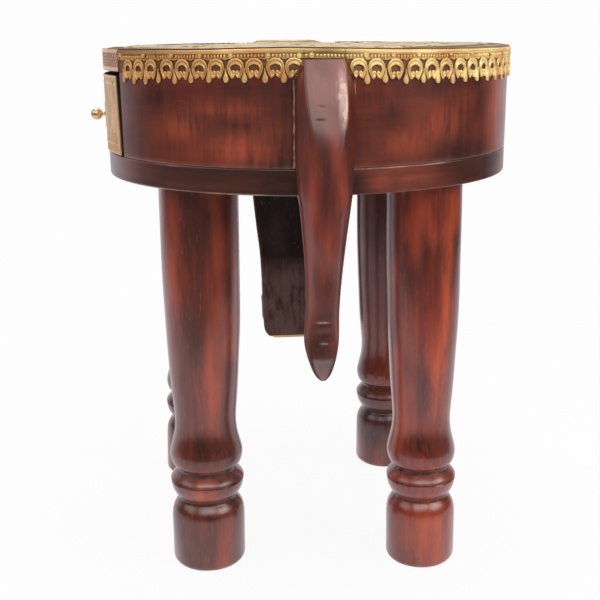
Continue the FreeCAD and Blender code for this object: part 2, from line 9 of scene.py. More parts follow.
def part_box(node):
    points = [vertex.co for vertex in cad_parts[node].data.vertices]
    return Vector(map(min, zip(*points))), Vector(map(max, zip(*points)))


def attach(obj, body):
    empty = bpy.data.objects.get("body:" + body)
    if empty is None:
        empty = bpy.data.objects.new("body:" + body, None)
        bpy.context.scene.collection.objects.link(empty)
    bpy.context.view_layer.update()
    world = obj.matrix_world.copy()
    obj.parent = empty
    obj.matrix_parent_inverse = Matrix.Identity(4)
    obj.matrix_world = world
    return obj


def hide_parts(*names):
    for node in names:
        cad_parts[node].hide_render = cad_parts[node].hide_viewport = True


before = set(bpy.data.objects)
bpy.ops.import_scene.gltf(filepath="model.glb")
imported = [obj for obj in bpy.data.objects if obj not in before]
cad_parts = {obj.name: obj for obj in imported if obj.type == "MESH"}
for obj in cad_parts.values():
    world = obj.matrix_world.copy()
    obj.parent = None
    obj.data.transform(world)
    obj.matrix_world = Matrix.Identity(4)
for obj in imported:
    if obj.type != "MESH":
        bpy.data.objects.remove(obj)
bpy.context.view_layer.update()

# ---- Base board -------------------------------------------------------------------------------
# Three hardwood planks glued edge to edge and cut round, 17 mm thick. They are stained and
# lacquered with the drum, and rubbed pale along the arris where hands lift the stool.
metres, drum_radius = 0.001, 150.0
base_bottom, base_top = 290.4, 307.4
# Sizes are in mm from the drum's axis, with the floor at zero. The seat sheet is a disc on that
# axis, so its box says where the axis stands in the frame.
disc_low, disc_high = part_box("seat_sheet")
drum_axis = np.array([(disc_low.x + disc_high.x) / 2, (disc_low.y + disc_high.y) / 2, 0.0])


def linear(code):
    """An sRGB hex colour as linear red, green, blue and alpha."""
    parts = [int(code[i:i + 2], 16) / 255 for i in (1, 3, 5)]
    return [p / 12.92 if p <= 0.04045 else ((p + 0.055) / 1.055) ** 2.4 for p in parts] + [1.0]


def add(tree, kind, inputs=None, stops=(), span=(), **settings):
    """Adds one shader node with its settings. An input is a value, a socket to link, or a node
    whose first output is linked. Stops are a ramp's colours, and span is a map range's ends."""
    made = tree.nodes.new("ShaderNode" + kind)
    for key, value in settings.items():
        setattr(made, key, value)
    ends = zip(("From Min", "From Max", "To Min", "To Max"), span)
    for key, value in [*(inputs or {}).items(), *ends]:
        if isinstance(value, bpy.types.Node):
            value = value.outputs[0]
        if isinstance(value, bpy.types.NodeSocket):
            tree.links.new(value, made.inputs[key])
        else:
            made.inputs[key].default_value = value
    if stops:
        ramp = made.color_ramp.elements
        while len(ramp) < len(stops):
            ramp.new(0.5)
        for element, (place, colour) in zip(ramp, stops):
            element.position = place
            element.color = linear(colour)
    return made


def new_material(name):
    made = bpy.data.materials.new(name)
    made.use_nodes = True
    made.node_tree.nodes.clear()
    return made, made.node_tree


# Sheesham under a dark red-brown spirit lacquer, brushed on over the stain. It gives a satin body
# with clouds of light and dark stain, fine streaks along the grain, and paler rubbed arrises.
def lacquered_sheesham(name, dark, middle, light, patch, patch_share=0.5, rough=0.34, coat=0.5,
                       worn_and_sheen="#a98070", own_grain=True, runs=0.0, gloss=0.5, flecked=0.5):
    made, tree = new_material(name)
    if own_grain:
        place = add(tree, "Attribute", attribute_name="grain").outputs["Vector"]
    else:
        place = add(tree, "TexCoord").outputs["Object"]

    def pattern(along_mm, across_mm, detail, roughness=0.5):
        scaled = add(tree, "Mapping", {
            "Vector": place, "Scale": (1000 / along_mm, 1000 / across_mm, 1000 / across_mm)})
        return add(tree, "TexNoise", {
            "Vector": scaled, "Scale": 1.0, "Detail": detail, "Roughness": roughness})

    clouds, streaks, broad = pattern(70, 34, 3), pattern(90, 3.2, 3, 0.6), pattern(95, 26, 2)
    stain = add(tree, "ValToRGB", {"Fac": clouds},
                stops=[(0.30, dark), (0.50, middle), (0.72, light)])
    streak_depth = add(tree, "MapRange", {"Value": streaks}, span=(0.36, 0.66, 0.0, 1.0))
    streaked = add(tree, "Mix", {0: streak_depth, 6: linear(dark), 7: stain}, data_type="RGBA")
    colour = add(tree, "Mix", {0: 0.35 if runs else 0.55, 6: stain, 7: streaked.outputs[2]},
                 data_type="RGBA").outputs[2]
    # Colours laid over the stain, each with the mask that says where it shows
    layers = [(add(tree, "MapRange", {"Value": broad}, span=(0.52, 0.70, 0.0, patch_share)), patch)]
    if runs:
        # Stain that ran down before it dried leaves upright streaks about 4 mm wide
        drips = add(tree, "MapRange", {"Value": pattern(4.5, 48, 2, 0.55)},
                    span=(0.40, 0.64, 0.0, runs))
        layers.append((drips, light))
    if own_grain:
        # The stain dried thick and dark, or was wiped off, in uneven patches with torn edges, and
        # the arrises are rubbed through in short lengths. The wiped and rubbed layers also carry
        # painted
        # light: lit bands on the wall and legs, and a highlight band and line on the tail
        torn = pattern(5, 34, 4, 0.65) if runs else pattern(30, 7, 4, 0.65)
        uneven = add(tree, "MapRange", {"Value": torn}, span=(0.34, 0.60, 0.25, 1.0))
        rub_and_sheen_cover = add(tree, "MapRange", {"Value": pattern(26, 9, 3, 0.7)},
                     span=(0.40, 0.62, 0.12, 1.0))
        for field, cover, code in (("thick", uneven, dark), ("wiped", uneven, patch),
                                   ("wear", rub_and_sheen_cover, worn_and_sheen)):
            amount = add(tree, "Attribute", attribute_name=field).outputs["Fac"]
            mask = add(tree, "Math", {0: amount, 1: cover}, operation="MULTIPLY", use_clamp=True)
            layers.append((mask, code))
    # Short flecks where the stain missed the pores, 0.3 mm wide in life and drawn at 1.1 mm
    flecks = add(tree, "MapRange", {"Value": pattern(7, 1.1, 3, 0.6)},
                 span=(0.60, 0.74, 0.0, flecked))
    for mask, code in layers + [(flecks, patch)]:
        mixed = add(tree, "Mix", {0: mask, 6: colour, 7: linear(code)}, data_type="RGBA")
        colour = mixed.outputs[2]
    roughness = add(tree, "MapRange", {"Value": clouds},
                    span=(0.3, 0.7, rough + 0.07, rough - 0.05))
    # Pores are 0.3 mm wide; they are drawn 1 mm wide so that they show in the render
    pores = pattern(22, 1.0, 2)
    grooves = add(tree, "Bump", {"Height": pores, "Strength": 0.25, "Distance": 0.0003})
    brush = add(tree, "Bump", {
        "Height": broad, "Strength": 0.5, "Distance": 0.0012, "Normal": grooves})
    shader = add(tree, "BsdfPrincipled", {
        "Base Color": colour, "Roughness": roughness, "IOR": 1.5, "Specular IOR Level": gloss,
        "Coat Weight": coat, "Coat Roughness": 0.24, "Coat IOR": 1.5, "Normal": brush})
    add(tree, "OutputMaterial", {"Surface": shader})
    return made


def make_piece(name, points, faces, material, body="carcass", replaces=(), slot="lacquered_wood",
               sharp=40.0, **fields):
    """Makes a piece from points in mm round the drum's axis, and seats it on its body."""
    mesh = bpy.data.meshes.new(name)
    mesh.from_pydata((np.asarray(points, float) * metres + drum_axis).tolist(), [], faces)
    for field, values in fields.items():
        values = np.asarray(values, np.float32)
        if values.ndim == 2:
            mesh.attributes.new(field, "FLOAT_VECTOR", "POINT").data.foreach_set(
                "vector", (values * metres).astype(np.float32).ravel())
        else:
            mesh.attributes.new(field, "FLOAT", "POINT").data.foreach_set("value", values)
    shape = bmesh.new()
    shape.from_mesh(mesh)
    bmesh.ops.recalc_face_normals(shape, faces=shape.faces)
    shape.to_mesh(mesh)
    shape.free()
    mesh.polygons.foreach_set("use_smooth", [True] * len(mesh.polygons))
    mesh.set_sharp_from_angle(angle=math.radians(sharp))
    mesh.materials.append(material)
    thing = bpy.data.objects.new(name, mesh)
    bpy.context.scene.collection.objects.link(thing)
    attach(thing, body)
    if replaces:
        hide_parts(*replaces)
    return thing


def skin(rows, columns, first=0, close=True, caps=True):
    """Quads over rows of points, closed round each row, with a flat cap at each end."""
    faces = []
    for row in range(rows - 1):
        for column in range(columns if close else columns - 1):
            a = first + row * columns + column
            b = first + row * columns + (column + 1) % columns
            faces.append((a, b, b + columns, a + columns))
    if caps:
        faces.append(tuple(range(first, first + columns)))
        faces.append(tuple(range(first + (rows - 1) * columns, first + rows * columns)))
    return faces


base_stain = lacquered_sheesham("sheesham_base_dark_lacquer", "#281410", "#4a251b", "#632c20",
                                "#843a28", patch_share=0.3, worn_and_sheen="#b8917f", flecked=0.15)
# A plank's levels from below: height, how far in from the rim, and how much it is rubbed. Its flat
# faces are closed from a line a few millimetres in.
arris, flat_inset = 0.8, 4.0
eased = [(arris * (1 - math.sin(a)), arris * (1 - math.cos(a)))
         for a in map(math.radians, (0, 22, 45, 68, 90))]
plank_levels = [(base_bottom, flat_inset, 0.0)]
plank_levels += [(base_bottom + off, inset, 1.0) for off, inset in reversed(eased)]
plank_levels += [(level, 0.0, 0.0) for level in (
    base_bottom + arris + 0.5, (base_bottom + base_top) / 2, base_top - arris - 0.5)]
plank_levels += [(base_top - off, inset, 1.0) for off, inset in eased]
plank_levels += [(base_top, flat_inset, 0.0)]


def patches(angles, levels, table):
    """How much each point lies in patches of (angle, level, half angle, half height, amount)."""
    amount = np.zeros(len(angles))
    for angle, level, wide, tall, strength in table:
        off = np.abs((angles - angle + 180) % 360 - 180)
        lie = np.exp(-(off / wide) ** 2 - ((levels - level) / tall) ** 2)
        amount = np.maximum(amount, strength * lie)
    return amount


def stains(angles, levels, wiped, thick):
    """The fields that say where a piece's stain was rubbed off to the red wood, with light painted
    in that colour in places, and where it dried thick.
    """
    return {"wiped": patches(angles, levels, wiped), "thick": patches(angles, levels, thick)}


# Where the board's arrises are rubbed most, and where its stain is uneven
board_rubbed = (
    (-79, base_top, 7, 5, 0.8), (-59, base_top, 6, 5, 0.4), (-112, base_bottom, 16, 5, 0.55),
    (-140, base_bottom, 12, 5, 0.5), (-128, base_top, 8, 5, 0.35), (40, base_top, 25, 5, 0.6),
    (130, base_bottom, 22, 5, 0.7), (95, base_top, 14, 5, 0.5), (-20, base_bottom, 18, 5, 0.25))
board_wiped = ((-68, 297, 8, 10, 0.8), (-76, 299, 4, 9, 0.9), (20, 298, 12, 9, 0.7),
               (120, 299, 10, 9, 0.6), (-150, 299, 8, 8, 0.3))
board_thick = ((-101, 299, 9, 12, 1.0), (-48, 298, 11, 9, 0.7), (-84, 298, 2.5, 9, 0.8),
               (70, 298, 14, 10, 0.7), (160, 299, 12, 12, 0.5))
# A plank's outline is drawn as two arcs, each with so many points; a straight edge joins them
arc_points = 110
for side in ("left", "middle", "right"):
    plank_low, plank_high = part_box(f"base_plank_{side}")
    start = (plank_low.x - drum_axis[0]) / metres
    end = (plank_high.x - drum_axis[0]) / metres
    points, wear = [], []
    for level, inset, rub in plank_levels:
        radius = drum_radius - inset
        near = start + inset * 0.5 if start > 1 - drum_radius else -radius
        far = end - inset * 0.5 if end < drum_radius - 1 else radius
        first = max(math.acos(min(1.0, far / radius)), 0.01)
        last = min(math.acos(max(-1.0, near / radius)), math.pi - 0.01)
        turns = np.concatenate([np.linspace(first, last, arc_points),
                                np.linspace(-last, -first, arc_points)])
        points += [(radius * math.cos(t), radius * math.sin(t), level) for t in turns]
        wear += [rub] * len(turns)
    points = np.array(points)
    angles = np.degrees(np.arctan2(points[:, 1], points[:, 0]))
    # On the rim the boards were stained round the edge, so their streaks follow it
    grain = np.stack([np.radians(angles) * drum_radius + 3 * start, points[:, 2],
                      np.hypot(points[:, 0], points[:, 1])], 1)
    make_piece(f"base_board_{side}", points, skin(len(plank_levels), 2 * arc_points), base_stain,
               replaces=[f"base_plank_{side}"], grain=grain,
               wear=np.array(wear) * (0.02 + patches(angles, points[:, 2], board_rubbed)),
               **stains(angles, points[:, 2], board_wiped, board_thick))

# ---- Legs -------------------------------------------------------------------------------------
# Four sheesham legs turned on a lathe: a drum foot, a grooved ring and a long swelling shaft. Each
# leans a little its own way and is screwed up under the base board.
leg_length, foot_radius, foot_corner = 290.4, 26.8, 5.0
leg_brown = lacquered_sheesham("sheesham_leg_brown_lacquer", "#37140c", "#682818", "#82311b",
                               "#ac441f", patch_share=0.55, rough=0.30, coat=0.9)
leg_red = lacquered_sheesham("sheesham_leg_red_lacquer", "#3e150d", "#782818", "#97361e",
                             "#b84a20", patch_share=0.55, rough=0.30, coat=0.9)
# Each leg: where its foot and its top stand in shares of the drum's radius, its girth and lacquer,
# and where its stain was wiped to the red wood and where it dried thick. On the hind legs the tall
# wiped patches at -62, -76 and -78 degrees are painted light: the orange streak of the key light
legs = (
    ("leg_hind_left", (-0.565, -0.519), (-0.553, -0.507), 1.02, leg_brown,
     ((-78, 148, 13, 34, 0.75), (-105, 62, 22, 6, 0.9), (-128, 240, 12, 45, 0.5),
      (60, 150, 40, 90, 0.5)),
     ((-45, 200, 14, 90, 0.9), (-84, 275, 30, 14, 0.6), (-88, 99, 48, 11, 1.4),
      (-100, 178, 14, 16, 1.2), (-100, 22, 90, 26, 0.5), (-52, 90, 10, 50, 0.9),
      (-85, 43, 46, 3.5, 1.0))),
    ("leg_hind_right", (0.513, -0.607), (0.498, -0.592), 0.96, leg_red,
     ((-62, 200, 10, 80, 0.8), (-76, 153, 13, 40, 0.8), (-85, 25, 45, 26, 0.85),
      (110, 150, 40, 90, 0.5)),
     ((-132, 235, 20, 60, 0.95), (-82, 99, 52, 10, 1.4), (-125, 160, 12, 40, 0.5),
      (-90, 43, 46, 3.5, 0.9), (-106, 140, 7, 24, 0.8))),
    ("leg_fore_left", (-0.653, 0.563), (-0.584, 0.510), 1.0, leg_brown,
     ((150, 160, 30, 90, 0.6), (40, 90, 20, 60, 0.5)), ((-90, 220, 50, 90, 0.8),)),
    ("leg_fore_right", (0.527, 0.573), (0.524, 0.563), 0.98, leg_brown,
     ((-60, 150, 20, 70, 0.35), (60, 160, 30, 90, 0.6)), ((-90, 235, 60, 60, 1.0),)),
)


def through(points, count):
    """A smooth run through the points (Catmull-Rom), count points to each span."""
    points = np.asarray(points, float)
    padded = np.vstack([2 * points[0] - points[1], points, 2 * points[-1] - points[-2]])
    run = []
    for i in range(len(points) - 1):
        a, b, c, d = padded[i:i + 4]
        for t in np.linspace(0, 1, count, endpoint=False):
            run.append(0.5 * (2 * b + (c - a) * t + (2 * a - 5 * b + 4 * c - d) * t ** 2
                              + (3 * b - a - 3 * c + d) * t ** 3))
    run.append(points[-1])
    return np.array(run)


# Shares of the leg's length and of the foot's radius, from the floor up
shoulder = through([
    (0.130, 1.0), (0.145, 0.985), (0.158, 0.945), (0.170, 0.870), (0.178, 0.795)], 3)
low_bead = through([
    (0.186, 0.782), (0.194, 0.868), (0.207, 0.945), (0.220, 0.985), (0.230, 0.998)], 3)
high_bead = through([(0.235, 1.004), (0.242, 0.968), (0.250, 0.890), (0.2585, 0.785)], 3)
shaft = through([(0.2635, 0.775), (0.276, 0.912), (0.291, 0.972), (0.307, 0.985), (0.322, 0.955),
                 (0.339, 0.908), (0.357, 0.863), (0.376, 0.836), (0.400, 0.828), (0.427, 0.847),
                 (0.489, 0.903), (0.568, 0.948), (0.637, 0.981), (0.723, 1.004), (0.837, 1.015),
                 (1.0, 1.019)], 5)
# The outline runs on past both ends, because the legs lean and are cut level there
overrun = 2.5
leg_outline = [(-overrun, 0.5, 0.0), (-overrun, foot_radius - foot_corner, 0.0)]
for turn in np.radians([0, 18, 36, 54, 72, 90]):
    leg_outline.append((foot_corner * (1 - math.cos(turn)),
                        foot_radius - foot_corner * (1 - math.sin(turn)), 0.12))
for run, rub in ((shoulder, 0.0), (low_bead, 0.08), ([(0.2325, 0.972)], 0.0), (high_bead, 0.08),
                 (shaft, 0.0)):
    leg_outline += [(z * leg_length, r * foot_radius, rub) for z, r in run]
leg_outline += [(leg_length + overrun, 1.019 * foot_radius, 0.0), (leg_length + overrun, 0.5, 0.0)]
# The grooves on both sides of the ring, and the ring's own line, are painted dark all round as
# their shade
groove_shade = tuple((0, share * leg_length, 1000, reach, 1.8) for share, reach in (
    (0.1830, 2.6), (0.2325, 0.8), (0.2612, 1.7)))
around_leg = 96
levels, radii, rubs = np.array(leg_outline).T
z = np.repeat(levels, around_leg)
t = np.tile(np.linspace(0, 2 * math.pi, around_leg, endpoint=False), len(levels))
for count, (leg, foot_at, top_at, girth, stain, wiped, thick) in enumerate(legs):
    foot = Vector((foot_at[0] * drum_radius, foot_at[1] * drum_radius, 0))
    top = Vector((top_at[0] * drum_radius, top_at[1] * drum_radius, leg_length))
    lean = Vector((0, 0, 1)).rotation_difference(top - foot).to_matrix()
    # The lathe and the sanding leave the round a few tenths of a mm uneven
    uneven = (0.16 * np.sin(2 * t + count) * np.sin(z / 41 + count) + 0.10 * np.sin(3 * t + z / 23)
              + 0.07 * np.sin(5 * t - z / 11 + 2 * count))
    r = np.repeat(radii, around_leg) * girth
    r = r + uneven * (r > 5)
    own = np.stack([r * np.cos(t), r * np.sin(t), z], 1)
    points = own @ np.array(lean).T + np.array(foot)
    points[:, 2] = np.clip(points[:, 2], 0.0, leg_length)
    grain = np.stack([own[:, 2], own[:, 0] + 310 * count, own[:, 1]], 1)
    make_piece(f"turned_{leg}", points, skin(len(levels), around_leg), stain, replaces=[leg],
               sharp=38, grain=grain, wear=np.repeat(rubs, around_leg),
               **stains(np.degrees(t), z, wiped, thick + groove_shade))

# ---- Drum wall --------------------------------------------------------------------------------
# Four bent sheesham blocks butted end to end and glued on the base board, open at the left for
# the drawer. They are stained in darker and redder clouds, and lie flush with the board's edge.
wall_top, wall_inner_radius = 365.4, 132.0
opening_half_width = drum_radius * math.sin(math.radians(27.0))
wall_stain = lacquered_sheesham("sheesham_wall_dark_lacquer", "#2c130d", "#562318", "#6e2c1c",
                                "#963e22", patch_share=0.25, worn_and_sheen="#a7796a", runs=0.35,
                                flecked=0.25)
# Most are where the stain was wiped to the redder wood, but the two tall ones at -33 and -14
# degrees are painted light: the lit band down the drum's right side
wall_wiped = (
    (-112, 319, 11, 10, 1.0), (-127, 332, 9, 9, 0.8), (-116, 344, 12, 6, 0.7),
    (-104, 330, 5, 9, 0.5), (-70, 322, 8, 9, 0.7), (-60, 333, 7, 11, 0.9),
    (-33, 338, 6, 28, 1.5), (-14, 340, 9, 26, 1.2), (-54, 347, 7, 7, 0.45),
    (25, 330, 14, 12, 0.7), (60, 344, 16, 9, 0.6), (98, 322, 12, 10, 0.8),
    (132, 342, 10, 12, 0.6))
wall_thick = (
    (-136, 350, 8, 9, 0.9), (-98, 317, 5, 8, 1.0), (-108, 355, 9, 4, 0.6), (-98, 354, 6, 10, 0.9),
    (-79, 352, 5, 9, 0.7), (-80, 320, 5, 8, 0.5), (-49, 358, 8, 5, 0.9), (-43, 343, 3.5, 8, 0.8),
    (-55, 314, 9, 6, 0.8), (-74, 340, 4, 24, 0.7), (-146, 325, 7, 14, 0.6), (5, 350, 14, 8, 0.8),
    (45, 318, 10, 8, 0.7), (115, 355, 12, 7, 0.8), (148, 318, 8, 8, 0.7))


def sweep_round(profile, start, end, steps):
    """A closed profile of radius and level carried round the drum between two angles, in degrees,
    which may each be a function of the radius."""
    profile = np.asarray(profile, float)
    starts = np.array([start(r) if callable(start) else start for r in profile[:, 0]])
    ends = np.array([end(r) if callable(end) else end for r in profile[:, 0]])
    share = np.linspace(0, 1, steps + 1)[:, None]
    turns = np.radians(starts[None, :] * (1 - share) + ends[None, :] * share)
    radii = np.broadcast_to(profile[:, 0], turns.shape)
    levels = np.broadcast_to(profile[:, 1], turns.shape)
    points = np.stack([radii * np.cos(turns), radii * np.sin(turns), levels], 2)
    return points.reshape(-1, 3), turns.ravel()


def door_edge(sign):
    """Where the opening's straight side cuts a circle: its angle in degrees, for any radius."""
    return lambda r: sign * (180 - math.degrees(math.asin(opening_half_width / r)))


# The block's section has eased corners: centre of each, and the angle at which its quarter starts
edge = 0.9
wall_profile, wall_rub = [], []
for centre_r, centre_z, low_turn in (
        (drum_radius - edge, base_top + edge, -90), (drum_radius - edge, wall_top - edge, 0),
        (wall_inner_radius + edge, wall_top - edge, 90),
        (wall_inner_radius + edge, base_top + edge, 180)):
    for turn in np.radians([low_turn, low_turn + 30, low_turn + 60, low_turn + 90]):
        wall_profile.append((centre_r + edge * math.cos(turn), centre_z + edge * math.sin(turn)))
        wall_rub.append(0.12)
    if low_turn == -90:
        for share in np.linspace(0.06, 0.94, 12):
            wall_profile.append((drum_radius, base_top + share * (wall_top - base_top)))
            wall_rub.append(0.0)
blocks = (("hind_left", door_edge(-1), -86.5), ("hind_right", -86.5, 2.0),
          ("fore_right", 2.0, 88.0), ("fore_left", 88.0, door_edge(1)))
wall_steps = 70
for count, (block, start, end) in enumerate(blocks):
    points, turns = sweep_round(wall_profile, start, end, wall_steps)
    radii = np.hypot(points[:, 0], points[:, 1])
    grain = np.stack([turns * drum_radius + 500 * count, points[:, 2], radii], 1)
    make_piece(f"drum_block_{block}", points, skin(wall_steps + 1, len(wall_profile)), wall_stain,
               replaces=[f"wall_{block}"], grain=grain, wear=np.tile(wall_rub, wall_steps + 1),
               **stains(np.degrees(turns), points[:, 2], wall_wiped, wall_thick))

# ---- Tail -------------------------------------------------------------------------------------
# One carved piece of sheesham, glued and screwed to the back of the drum. Its flat outer facet
# leans up to the light, the root is sawn square, and the tip is cut to a blunt point.
tail_width, tail_drop, tail_reach, tail_top, tail_offset = 37.4, 198.0, 27.0, 374.3, -3.0
# Carvings and brass lie on the wall's lacquered face
skin_radius = 150.1
tail_stain = lacquered_sheesham("sheesham_tail_red_lacquer", "#34150f", "#5c2317", "#712b1a",
                                "#923820", patch_share=0.4, rough=0.36, worn_and_sheen="#bd998a")


def rounded_loop(corners, fillet, per_edge):
    """A closed outline with its corners eased, and how much each of its points is rubbed."""
    corners = np.asarray(corners, float)
    loop, rub = [], []
    for i, corner in enumerate(corners):
        before, after = corners[i - 1] - corner, corners[(i + 1) % len(corners)] - corner
        long_before = max(np.linalg.norm(before), 1e-6)
        long_after = max(np.linalg.norm(after), 1e-6)
        a = corner + before / long_before * min(fillet, 0.45 * long_before)
        eased_after = after / long_after * min(fillet, 0.45 * long_after)
        b, far = corner + eased_after, corner + after - eased_after
        for t in np.linspace(0, 1, 6):
            loop.append((1 - t) ** 2 * a + 2 * t * (1 - t) * corner + t * t * b)
            rub.append(1.0 if 0.1 < t < 0.9 else 0.3)
        for t in np.linspace(0, 1, per_edge + 2)[1:-1]:
            loop.append(b + (far - b) * t)
            rub.append(0.0)
    return loop, rub


def carving(stations, levels_at, middle_at, half, reach, fillet_at, rows_each, per_edge=4):
    """Lofts a carving from stations of shares: drop, half width, face half width, back, side,
    front."""
    stations = np.array(stations)
    dense = through(stations, rows_each)
    # The back is sawn straight from station to station, and only the worked sides are smooth
    dense[:, 3] = np.interp(dense[:, 0], stations[:, 0], stations[:, 3])
    points, wear = [], []
    for drop, wide, face, back, side, front in dense:
        middle, level = middle_at(drop), levels_at(drop)
        back, side, front = (reach(share) for share in (back, side, front))
        corners = [(middle - wide * half, back), (middle - wide * half, side),
                   (middle - face * half, front), (middle + face * half, front),
                   (middle + wide * half, side), (middle + wide * half, back)]
        loop, rub = rounded_loop(corners, fillet_at(drop), per_edge)
        points += [(x, y, level) for x, y in loop]
        wear += rub
    return np.array(points), np.array(wear), len(dense), len(loop)


def clear_of_drum(points):
    """Points of a carving that would lie inside the drum are brought out to its face."""
    across = np.hypot(points[:, 0], points[:, 1])
    below_board = 0.2
    inside = (across < skin_radius) & (points[:, 2] > base_bottom - below_board)
    side = np.sign(points[:, 1])
    face = np.sqrt(np.maximum(skin_radius ** 2 - points[:, 0] ** 2, 0)) * side
    points[inside, 1] = face[inside]
    return points


tail_stations = (
    (0.000, 0.72, 0.68, -0.40, 0.02, 0.20), (0.044, 0.84, 0.69, -0.40, 0.06, 0.345),
    (0.090, 0.98, 0.68, -0.40, 0.12, 0.49), (0.150, 1.00, 0.63, -0.40, 0.20, 0.66),
    (0.220, 1.00, 0.55, -0.40, 0.26, 0.82), (0.280, 1.00, 0.48, -0.40, 0.32, 0.91),
    (0.340, 0.97, 0.44, -0.40, 0.38, 0.95), (0.400, 0.93, 0.42, -0.40, 0.44, 0.98),
    (0.450, 0.86, 0.42, 0.02, 0.46, 0.97), (0.540, 0.76, 0.40, 0.08, 0.44, 0.90),
    (0.660, 0.64, 0.35, 0.12, 0.42, 0.77), (0.780, 0.585, 0.33, 0.12, 0.38, 0.67),
    (0.870, 0.61, 0.36, 0.14, 0.38, 0.640), (0.905, 0.59, 0.41, 0.20, 0.45, 0.665),
    (0.934, 0.52, 0.39, 0.34, 0.58, 0.72), (0.955, 0.44, 0.34, 0.47, 0.70, 0.80),
    (0.975, 0.345, 0.27, 0.60, 0.81, 0.88), (0.990, 0.24, 0.18, 0.70, 0.88, 0.94),
    (1.000, 0.11, 0.07, 0.78, 0.93, 0.985),
)


def tail_middle(drop):
    """The tail hangs a little to one side and back again."""
    return float(np.interp(drop, (0, 0.12, 0.45, 0.7, 1.0), (-2.4, -1.8, -2.6, -3.9, -6.4)))


points, wear, rows, columns = carving(
    tail_stations, lambda drop: tail_top - drop * tail_drop, tail_middle, tail_width / 2,
    lambda share: -(drum_radius + share * tail_reach),
    lambda drop: float(np.interp(drop, (0, 0.2, 0.4, 0.85, 1.0), (1.6, 2.2, 5.0, 4.0, 1.5))), 18, 9)
points = clear_of_drum(points)
x, z = points[:, 0], points[:, 2]
# Tool marks: two nicks in the facet, and a cut above the tip with a gouged hollow below it
outer = np.clip((-drum_radius - 1.0 - points[:, 1]) / 6, 0, 1)
for mark_x, level, half_x, half_z, depth in (
        (-5.9, 346.9, 1.2, 0.6, 0.6), (-6.9, 338.9, 1.7, 0.6, 0.7), (-5.3, 211.2, 4.8, 0.8, 0.6),
        (-5.2, 203.6, 5.0, 3.4, 0.9), (-4.9, 198.9, 3.0, 1.0, 0.6)):
    lie = np.exp(-((x - mark_x) / half_x) ** 4 - ((z - level) / half_z) ** 2)
    points[:, 1] += depth * lie * outer
# The knife left the sides a little wavy
points[:, 1] += 0.22 * np.sin(z / 5.3 + x / 6) * outer
# Painted highlights, laid on in the worn colour: a soft band down the right of the facet, and a
# thin line along the cut above the tip
tail_painted_highlight = np.exp(-((x - 7.4) / 2.3) ** 4 - ((z - 353) / 15) ** 4) * outer
cut_painted_highlight = np.exp(-((x + 5.3) / 4.0) ** 4 - ((z - 212.0) / 0.5) ** 2) * outer
tail_turn = np.degrees(np.arctan2(points[:, 1] + drum_radius, x - tail_offset))
tail_wiped = ((-112, 296, 9, 30, 0.7), (-66, 290, 12, 22, 0.8), (-88, 262, 22, 16, 0.6),
              (-78, 318, 8, 14, 0.6), (-60, 200, 20, 12, 0.6), (-130, 225, 20, 40, 0.4))
tail_thick = ((-90, 308, 9, 22, 0.95), (-88, 222, 14, 24, 0.6), (-92, 203, 26, 6, 1.0),
              (-150, 340, 24, 26, 0.6), (-93, 290, 6, 22, 0.6))
make_piece("carved_tail", points, skin(rows, columns), tail_stain, replaces=["tail"], sharp=50,
           grain=points[:, [2, 0, 1]] + np.array([900, 0, 0]),
           wear=6.0 * tail_painted_highlight + 0.6 * cut_painted_highlight,
           **stains(tail_turn, z, tail_wiped, tail_thick))


def mottled(name, per_metre, detail, stops, surface):
    """A material of two colours in soft spots, so many to a metre, with its other settings."""
    made, tree = new_material(name)
    place = add(tree, "TexCoord").outputs["Object"]
    spots = add(tree, "TexNoise", {"Vector": place, "Scale": per_metre, "Detail": detail})
    shade = add(tree, "ValToRGB", {"Fac": spots}, stops=stops)
    shader = add(tree, "BsdfPrincipled", {"Base Color": shade, **surface})
    add(tree, "OutputMaterial", {"Surface": shader})
    return made


# Glue that squeezed out along both sides of the tail and dried pale and crumbly
glue = mottled("dried_hide_glue", 260.0, 3.0, [(0.38, "#6a4438"), (0.60, "#b08d7c")],
               {"Roughness": 0.55})
glue_low, glue_high, glue_rows, around_glue = 308.2, 362.0, 60, 8
for side in (-1, 1):
    line = []
    for level in np.linspace(glue_low, glue_high, glue_rows):
        drop = (tail_top - level) / tail_drop
        x = tail_middle(drop) + side * (tail_width / 2 + 0.15)
        y = -math.sqrt(drum_radius ** 2 - x * x)
        thick = 0.42 + 0.22 * math.sin(level / 2.9 + side) * math.sin(level / 7.1)
        for turn in np.linspace(0, 2 * math.pi, around_glue, endpoint=False):
            line.append((x + thick * math.cos(turn), y + thick * 0.9 * math.sin(turn), level))
    make_piece(f"tail_glue_line_{'left' if side < 0 else 'right'}", line,
               skin(glue_rows, around_glue), glue)

